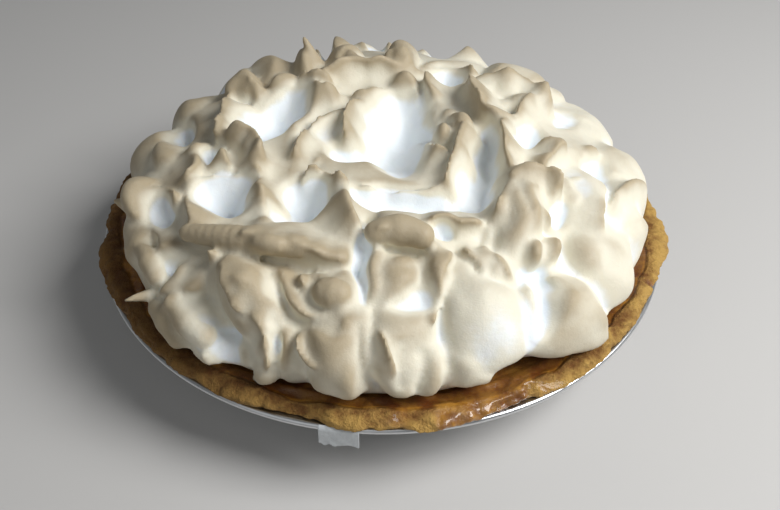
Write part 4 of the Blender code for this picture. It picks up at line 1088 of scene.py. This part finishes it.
def body_skin():
    """The swirled body over the map, closed below by rings that shrink to its middle."""
    x, y = disc_map()
    top, _ = on_meringue(x.ravel(), y.ravel())
    faces = [sheet_faces(MAP_GRID, MAP_GRID)]
    points = [top]
    rim = grid_rim(MAP_GRID)
    edge = top[rim]
    last = rim
    count = len(top)
    for share in (0.985, 0.96, 0.93, 0.9, 0.6, 0.3, 0.02):
        ring = edge * (share, share, 1.0)
        ring[:, 2] = underside(np.hypot(ring[:, 0], ring[:, 1]))
        fresh = np.arange(count, count + len(rim))
        faces.append(np.stack([last, fresh, np.roll(fresh, -1), np.roll(last, -1)], -1))
        points.append(ring)
        last = fresh
        count += len(rim)
    half = len(rim) // 2
    back = last[::-1]
    cap = [last[:half], np.roll(back, 1)[:half], back[:half], last[1 : half + 1]]
    faces.append(np.stack(cap, -1))
    return np.concatenate(points), np.concatenate(faces)


def tube_skin(places, radii):
    """A round tube: at each place a circle of its radius across the line, closed at both ends."""
    ahead = np.gradient(places, axis=0)
    ahead /= np.maximum(np.linalg.norm(ahead, axis=1, keepdims=True), 1e-12)
    side = np.cross(ahead, places / np.linalg.norm(places, axis=1, keepdims=True))
    side /= np.maximum(np.linalg.norm(side, axis=1, keepdims=True), 1e-9)
    lift = np.cross(side, ahead)
    angle = np.linspace(0, 2 * np.pi, TUBE_SIDES, endpoint=False)[None, :, None]
    circle = np.cos(angle) * side[:, None] + np.sin(angle) * lift[:, None]
    rings = places[:, None] + radii[:, None, None] * circle
    rings[0] = places[0]
    rings[-1] = places[-1]
    return rings.reshape(-1, 3), sheet_faces(len(places), TUBE_SIDES, closed_columns=True)


def roll_skin(roll):
    """A roll along a bowed line at a set height above the dome: its radius swells between its
    ends, shrinks to a half ball past both, and ripples where it has wrinkles."""
    x0, y0, x1, y1, bow, stand, first, middle, last, wrinkles = roll
    along = np.array([x1 - x0, y1 - y0], float)
    length = np.hypot(*along)
    left = np.array([-along[1], along[0]]) / length
    sweep = (1 - np.cos(np.linspace(0.0, np.pi, 2 * ROLL_POINTS))) / 2
    walked = 0.98 * (-first + (first + length + last) * sweep) + 0.02 * length * sweep
    share = np.clip(walked / length, 0, 1)
    bowed = (4 * bow * share * (1 - share))[:, None] * left
    flat = np.array([x0, y0]) + (walked / length)[:, None] * along + bowed
    x, y = settled(flat[:, 0], flat[:, 1], stand)
    r, z, away_x, away_y, out, up = dome_frame(x, y)
    r = (r + stand * out) * MM
    z = (z + stand * up) * MM + MERINGUE_FOOT
    places = np.stack([r * away_x, r * away_y, z], -1)
    swell = np.interp(share, [0, 0.5, 1], [first, middle, last])
    past_end = np.maximum(-walked / first, (walked - length) / last)
    round_end = np.sqrt(1 - np.clip(past_end, 0, 0.995) ** 2)
    ripple = 1 + WRINKLE_DEPTH * np.sin(2 * np.pi * wrinkles * share)
    return tube_skin(places, swell * round_end * ripple * MM)


def peak_skin(peak):
    """A peak drawn up by the spoon: it leaves along the surface's normal, tapers and droops."""
    x, y, length, thickness, heading, droop = peak
    x, y = settled(float(x), float(y), 0.7 * thickness)
    foot, normal = on_meringue(np.array([x]), np.array([y]))
    level = np.array([math.cos(math.radians(heading)), math.sin(math.radians(heading)), 0.0])
    count = 17
    share = np.linspace(0, 1, count)[:, None]
    bend = math.radians(droop) * (0.4 + share[1:])
    stride = (length + 0.8 * thickness) * MM / (count - 1)
    steps = (normal * np.cos(bend) + level * np.sin(bend)) * stride
    start = foot - normal * thickness * MM * 0.8
    places = np.concatenate([start, start + np.cumsum(steps, 0)])
    radii = thickness * MM * (1.0 - 0.88 * share[:, 0] ** 0.7)
    return tube_skin(places, radii)


def one_skin(parts):
    """Closed skins that cross each other made one through a voxel remesh: its points and quads."""
    points = []
    faces = []
    count = 0
    for part_points, part_faces in parts:
        points.append(part_points)
        faces.append(part_faces + count)
        count += len(part_points)
    mesh = skin("work", np.concatenate(points), np.concatenate(faces))
    work = placed("work", mesh)
    remesh = work.modifiers.new("One skin", "REMESH")
    remesh.mode = "VOXEL"
    remesh.voxel_size = SKIN_VOXEL
    graph = bpy.context.evaluated_depsgraph_get()
    made = bpy.data.meshes.new_from_object(work.evaluated_get(graph))
    bpy.data.objects.remove(work)
    flat = np.empty(len(made.vertices) * 3, np.float32)
    made.vertices.foreach_get("co", flat)
    quads = np.empty(len(made.loops), np.int32)
    made.loops.foreach_get("vertex_index", quads)
    return flat.reshape(-1, 3).astype(float), quads.reshape(-1, 4)


class Net:
    """The edges of a mesh, for averaging values over neighbours."""

    def __init__(self, count, quads):
        ends = np.concatenate([quads[:, [i, (i + 1) % 4]] for i in range(4)])
        self.ends = np.unique(np.sort(ends, 1), axis=0)
        self.count = count
        self.degree = np.maximum(np.bincount(self.ends.ravel(), minlength=count), 1)[:, None]

    def blurred(self, values, rounds, share=0.5):
        """Values moved towards the mean of their neighbours, so many times over."""
        first, second = self.ends.T
        for _ in range(rounds):
            columns = [
                np.bincount(first, values[second, k], self.count)
                + np.bincount(second, values[first, k], self.count)
                for k in range(values.shape[1])
            ]
            values = (1 - share) * values + share * np.stack(columns, -1) / self.degree
        return values


def normals_of(points, quads):
    """The unit normal at each point: the sum of the cross products of its quads' diagonals."""
    first, second, third, fourth = (points[quads[:, k]] for k in range(4))
    across = np.cross(third - first, fourth - second)
    total = np.zeros_like(points)
    for k in range(4):
        for axis in range(3):
            total[:, axis] += np.bincount(quads[:, k], across[:, axis], len(points))
    return total / np.maximum(np.linalg.norm(total, axis=1, keepdims=True), 1e-15)


def standing(points, net, normals, rounds):
    """How far each point stands above the surface blurred that many times, in millimetres."""
    level = net.blurred(points, rounds)
    facing = net.blurred(normals, rounds // 3)
    facing /= np.maximum(np.linalg.norm(facing, axis=1, keepdims=True), 1e-9)
    return ((points - level) * facing).sum(1) / MM


def map_of(points):
    """Map positions of points near the dome: each is dropped on it along the dome's normal."""
    radius = np.hypot(points[:, 0], points[:, 1]) / MM
    rise = (points[:, 2] - MERINGUE_FOOT) / MM
    away_x, away_y = points[:, 0] / MM / radius, points[:, 1] / MM / radius
    reach = np.interp(radius, dome_section()[0] / MM, dome_section()[2] / MM)
    for _ in range(8):
        r, z, _, _, out, up = dome_frame(reach, 0 * reach)
        reach = np.clip(reach + 0.7 * ((radius - r) * up - (rise - z) * out), 0.1, 150)
    return reach * away_x, reach * away_y


def toasting_and_shade(points):
    """How much more, or less, each place is toasted than its shape tells, partly painted shade
    where the table darkens shaded places: basins stay pale.
    """
    x, y = map_of(points)
    total = np.zeros(len(points))
    for basin in BASINS:
        share = ellipse_share(*strayed(x, y), *basin_centre(basin), *basin[2:5])
        depth = min(1.0, basin[5] / PALEST_BASIN)
        pale = BASIN_PALENESS * depth**1.3 * smooth_step(1.18 - share)
        total = np.minimum(total, -pale)
    for centre_x, centre_y, half_x, half_y, turn, amount in TOAST_AND_SHADE_PLACES:
        place = stood(centre_x, centre_y, TOAST_READ_AT)
        share = ellipse_share(*strayed(x, y), *place, half_x, half_y, turn)
        total += amount * np.clip(1 - share**2, 0, 1) ** 1.5
    return total


def make_meringue():
    """The swirled body with its rolls and peaks as one skin, with what its browning reads."""
    parts = [body_skin()]
    parts += [roll_skin(roll) for roll in ROLLS.values()]
    parts += [peak_skin(peak) for peak in PEAKS.values()]
    points, quads = one_skin(parts)
    net = Net(len(points), quads)
    points = net.blurred(points, 1, 0.6)
    reach = np.hypot(points[:, 0], points[:, 1])
    points[:, 2] = np.maximum(points[:, 2], underside(reach))
    normals = normals_of(points, quads)
    crest = standing(points, net, normals, CREST_ROUNDS)
    swell = standing(points, net, normals, SWELL_ROUNDS)
    form = standing(points, net, normals, FORM_ROUNDS)
    hidden = (points[:, 2] < underside(reach) + 0.3 * MM) & (reach < 98 * MM)
    shown = ~hidden[quads].any(1)
    used = np.unique(quads[shown])
    renumber = np.zeros(len(points), int)
    renumber[used] = np.arange(len(used))
    mesh = skin("meringue_piece", points[used], renumber[quads[shown]])
    # Creases are browned a little as well: partly toasting, partly painted shade in the creases.
    give(mesh, "crest", np.maximum(crest, -0.25 * crest)[used])
    give(mesh, "swell", np.maximum(swell, 0.4 * swell)[used])
    give(mesh, "form", form[used])
    give(mesh, "toast_and_shade", toasting_and_shade(points)[used])
    return piece("meringue_piece", mesh, meringue_paint(), "meringue")


def meringue_paint():
    """White in its hollows, cream on its slopes, toasted on its crests; painted shade browns it to
    the left and in creases.
    """
    paint = Paint(
        "meringue",
        Roughness=0.55,
        Subsurface_Weight=0.3,
        Subsurface_Radius=(1.0, 0.85, 0.7),
        Subsurface_Scale=0.0035,
        IOR=1.4,
    )
    crest = paint.attribute("crest")
    swell = paint.attribute("swell")
    form = paint.attribute("form")
    cloud = paint.noise(45.0, 2.0) - 0.5
    mottle = paint.noise(260.0, 4.0, 0.6) - 0.5
    high = (paint.along("Z") - 0.062) * 14.0
    # Painted shade and light: browner towards the left and paler towards the right, as the light
    # falls from the right.
    side = (0.01 - paint.along("X")) * 3.2
    heat_and_shade = 0.84 + crest * 0.36 + swell * 0.24 + form * 0.09 + cloud * 0.5 + mottle * 0.25
    heat_and_shade = heat_and_shade + high + side + paint.attribute("toast_and_shade")
    pale = paint.mix(paint.ramp(heat_and_shade, 0.1, 0.62), SKY_TINTED_WHITE, CREAM)
    paint.put("Base Color", paint.mix(paint.ramp(heat_and_shade, 0.6, 1.7), pale, TOASTED))
    grain = paint.noise(1500.0, 3.0, 0.6) * 0.3 + paint.noise(420.0, 4.0, 0.55) * 0.5
    crumbs = paint.ramp(paint.noise(520.0, 3.0, 0.6), 0.5, 0.72) * paint.ramp(crest, 0.5, 1.6)
    paint.bump(grain + crumbs * 1.6, 0.0004)
    return paint.material


# The crust


def make_crust():
    """The pastry's edge: its outline turned, strayed outwards, and rough at three sizes."""
    outline = resampled(crust_outline(), CRUST_ROWS, 3)
    points = turned(outline, CRUST_TURN_STEPS)
    radius = np.hypot(points[..., 0], points[..., 1])
    angle = np.arctan2(points[..., 1], points[..., 0])
    along = np.linspace(0, 1, CRUST_ROWS)[None, :] + 0 * radius
    edge_share = smooth_step((radius - (TIN_MOUTH_RADIUS + 2 * MM)) / (5 * MM))
    top_share = smooth_step((points[..., 2] - TIN_DEPTH - 1.6 * MM) / (2 * MM))
    top_share *= smooth_step((radius - CRUST_EDGE_RADIUS + 13 * MM) / (4 * MM))
    girth = angle * CRUST_EDGE_RADIUS / MM
    walk = along * CRUST_GIRTH
    lumps = noise(girth, walk, LUMP_CELL, 61)
    crags = noise(girth, walk, CRAG_CELL, 62)
    crumbs = noise(girth, walk, CRUMB_CELL, 63)
    out = edge_share * (edge_wander(angle) + (0.9 * crags + 0.35 * crumbs) * MM)
    scale = (radius + out) / radius
    points[..., 0] *= scale
    points[..., 1] *= scale
    rise = CRUST_LUMP * ring_noise(angle, (9, 14, 21, 29), 11) + 0.8 * MM * lumps
    points[..., 2] += top_share * (rise + (0.45 * crags + 0.15 * crumbs) * MM)
    ceiling = underside(np.hypot(points[..., 0], points[..., 1])) - 0.1 * MM
    lowered = np.minimum(points[..., 2], ceiling)
    points[..., 2] = np.where(radius + out < 117 * MM, lowered, points[..., 2])
    faces = sheet_faces(*radius.shape, closed_rows=True)
    mesh = skin("crust_piece", points.reshape(-1, 3), faces)
    turn = np.degrees(angle) % 360
    spilt = sum(amount * np.exp(-(((turn - at) / width) ** 2)) for at, width, amount in SPILLS)
    # The inner band under the meringue's foot reads as wettest, and the paint darkens it there as
    # painted shade.
    inner = smooth_step((CRUST_EDGE_RADIUS - 4 * MM - radius - out) / (6 * MM))
    patch = noise(girth, walk, PATCH_CELL, 64)
    wet = np.clip(inner * 1.1 + spilt + 0.4 * patch - 0.3, 0, 1)
    give(mesh, "wet", wet)
    give(mesh, "lip", smooth_step((radius + out - CRUST_EDGE_RADIUS + 5 * MM) / (5 * MM)))
    give(mesh, "bump", lumps + 0.7 * crags + 0.4 * crumbs)
    return piece("crust_piece", mesh, crust_paint(), "crust")


def crust_paint():
    """Golden pastry, paler on its lip, amber and glossy where syrup ran over it, with painted shade
    to the left and under the meringue's foot.
    """
    paint = Paint("crust", IOR=1.45, Coat_Roughness=0.08)
    wet = paint.attribute("wet")
    lip = paint.attribute("lip")
    rough = paint.attribute("bump")
    mottle = paint.noise(140.0, 4.0, 0.6)
    specks = paint.noise(900.0, 3.0, 0.65)
    baked = paint.noise(430.0, 4.0, 0.6)
    baked_tone = paint.ramp(mottle * 0.7 + baked * 0.4 + rough * 0.10 + lip * 0.22, 0.34, 0.84)
    dry = paint.mix(baked_tone, BROWN_PASTRY, GOLDEN_PASTRY)
    dry = paint.mix(paint.ramp(specks, 0.6, 0.75) * 0.4, dry, PALE_FLECKS)
    # Painted shade: the pastry darkens to the left, the side away from the light.
    left = paint.ramp(0.0 - paint.along("X"), -0.03, 0.10)
    dry = paint.mix(left * 0.75, dry, SHADED_PASTRY)
    syrup = paint.mix(paint.ramp(mottle, 0.35, 0.7), BROWN_SYRUP, AMBER_SYRUP)
    # Darker where the syrup lies thickest and in the band under the meringue's foot: partly dark
    # syrup, partly painted shade.
    syrup = paint.mix(paint.ramp(wet, 0.75, 1.0) * 0.5, syrup, DEEP_SYRUP_AND_SHADE)
    cover = paint.ramp(wet, 0.25, 0.7)
    paint.put("Base Color", paint.mix(cover * 0.85, dry, syrup))
    paint.put("Roughness", 0.75 - cover * 0.45)
    paint.put("Coat Weight", cover * 0.7)
    grain = (paint.noise(1300.0, 4.0, 0.65) + baked * 1.5) * (1.0 - cover * 0.8) + mottle * 0.6
    paint.bump(grain, 0.0011)
    return paint.material


# The filling's edge


def shaded_filling_paint():
    """Dark and glossy: painted shade, as its edge lies under the meringue's foot."""
    paint = Paint("filling", Roughness=0.12, IOR=1.45, Coat_Weight=0.6, Coat_Roughness=0.04)
    mottle = paint.noise(150.0, 3.0)
    paint.put("Base Color", paint.mix(mottle, SHADED_FILLING_DARK, SHADED_FILLING_PALE))
    return paint.material


# The tin and the tape


def make_tin():
    """The tin's section turned: its wall inside, the flange, the rolled edge, its wall outside."""
    slope = math.atan2(TIN_MOUTH_RADIUS - TIN_BASE_RADIUS, TIN_DEPTH)
    sheet_across = TIN_SHEET / math.cos(slope)
    corner = 2.5 * MM
    flange_top = TIN_DEPTH + TIN_SHEET / 2
    inner = [
        (0.5 * MM, TIN_SHEET),
        (TIN_BASE_RADIUS - corner, TIN_SHEET),
        (TIN_BASE_RADIUS + 0.6 * MM, TIN_SHEET + corner * 0.7),
        (TIN_MOUTH_RADIUS - sheet_across - 0.4 * MM, TIN_DEPTH - 1.4 * MM),
        (TIN_MOUTH_RADIUS + 1.2 * MM, flange_top),
    ]
    bead = arc(bead_centre(), TIN_BEAD, 128, -150, 15)
    outer = [
        (TIN_MOUTH_RADIUS + 1.8 * MM, flange_top - TIN_SHEET),
        (TIN_MOUTH_RADIUS + 0.2 * MM, TIN_DEPTH - 1.9 * MM),
        (TIN_BASE_RADIUS + 1.4 * MM, corner * 0.7),
        (TIN_BASE_RADIUS - corner * 0.8, 0),
        (0.5 * MM, 0),
    ]
    profile = resampled(inner + bead + outer, TIN_ROWS, 1)
    sparse = np.arange(0, TIN_ROWS, TIN_ROW_STEP)
    keep = np.unique(np.concatenate([sparse, np.arange(*TIN_BEAD_ROWS)]))
    points = turned(profile[keep], TURN_STEPS)
    faces = sheet_faces(*points.shape[:2], closed_rows=True)[:, ::-1]
    mesh = skin("tin_piece", points.reshape(-1, 3), faces)
    return piece("tin_piece", mesh, tin_paint(), "tin")


def tin_paint():
    """Thin rolled aluminium with faint marks round it."""
    paint = Paint("tin", Metallic=1.0)
    marks = paint.noise(60.0, 4.0, 0.6, (1.0, 1.0, 14.0))
    paint.put("Base Color", paint.mix(marks, DULL_TIN, BRIGHT_TIN))
    paint.put("Roughness", 0.2 + marks * 0.22)
    paint.bump(paint.noise(90.0, 3.0), 0.0002)
    return paint.material


def make_tape():
    """The strip over the tin's edge: a thin sheet with a crinkled face and a torn lower edge."""
    centre = bead_centre()
    clear = TIN_BEAD + GAP
    section = arc(centre, clear + TAPE_SHEET, 70, 0, 12)
    drop = centre[0] + clear + TAPE_SHEET + 0.2 * MM
    section += [(drop, centre[1] - TAPE_DROP)]
    section = resampled(section, TAPE_ROWS, 1)
    across = np.linspace(-0.5, 0.5, TAPE_COLUMNS)
    u = across[:, None] + 0 * section[None, :, 0]
    v = np.linspace(0, 1, TAPE_ROWS)[None, :] + 0 * u
    torn = 0.9 * MM * noise(u * TAPE_WIDTH / MM, 0 * u, 1.7, 71) * v**3
    crinkle = 0.12 * MM * noise(u * TAPE_WIDTH / MM, v * 10, 2.4, 72) * v
    radius = section[None, :, 0] + crinkle
    height = section[None, :, 1] + torn
    side = u * TAPE_WIDTH
    turn = math.radians(TAPE_AZIMUTH)
    x = radius * math.cos(turn) - side * math.sin(turn)
    y = radius * math.sin(turn) + side * math.cos(turn)
    outer = np.stack([x, y, height], -1)
    faces = sheet_faces(TAPE_COLUMNS, TAPE_ROWS)
    mesh = skin("tape_piece", outer.reshape(-1, 3), faces)
    made = piece("tape_piece", mesh, tape_paint(), "tape_tab")
    sheet = made.modifiers.new("Sheet", "SOLIDIFY")
    sheet.thickness = TAPE_SHEET
    sheet.offset = 0.0
    return made


def tape_paint():
    """Cloudy grey, a little glossy."""
    paint = Paint("tape", Roughness=0.35, IOR=1.45)
    cloud = paint.noise(400.0, 4.0, 0.6)
    paint.put("Base Color", paint.mix(cloud, DULL_TAPE, CLOUDY_TAPE))
    paint.bump(paint.noise(500.0, 3.0), 0.0003)
    return paint.material


# Floor, light and camera


def make_stage():
    """A plain floor just under the tin, two soft lights, a dim room and the camera."""
    far = 2.5
    corners = np.array([(-far, -far, 0), (far, -far, 0), (far, far, 0), (-far, far, 0)])
    floor_mesh = skin("floor", corners - (0, 0, 0.2 * MM), np.array([[0, 1, 2, 3]]))
    floor_mesh.materials.append(Paint("floor", Base_Color=FLOOR, Roughness=0.6).material)
    placed("floor", floor_mesh)
    for place, size, power in LIGHTS:
        light = bpy.data.lights.new("soft_light", "AREA")
        light.shape = "SQUARE"
        light.size = size
        light.energy = power
        holder = placed("soft_light", light)
        holder.location = place
        aim = Vector((0, 0, 0.05)) - Vector(place)
        holder.rotation_euler = aim.to_track_quat("-Z", "Y").to_euler()
    world = bpy.data.worlds.new("room")
    world.use_nodes = True
    background = world.node_tree.nodes["Background"].inputs
    background["Color"].default_value = ROOM_COLOUR
    background["Strength"].default_value = ROOM_LIGHT
    bpy.context.scene.world = world
    bpy.context.scene.view_settings.view_transform = "Standard"
    lens = bpy.data.cameras.new("camera")
    lens.sensor_width = 36.0
    lens.lens = CAMERA_LENS
    camera = placed("camera", lens)
    tilt = Matrix.Rotation(math.radians(90 - CAMERA_DOWN), 4, "X")
    lean = Matrix.Rotation(math.radians(CAMERA_LEAN), 4, "Z")
    camera.matrix_world = Matrix.Translation(CAMERA_PLACE) @ tilt @ lean
    bpy.context.scene.camera = camera


make_meringue()
make_crust()
make_tin()
make_tape()
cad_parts["filling"].data.materials.clear()
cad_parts["filling"].data.materials.append(shaded_filling_paint())
make_stage()
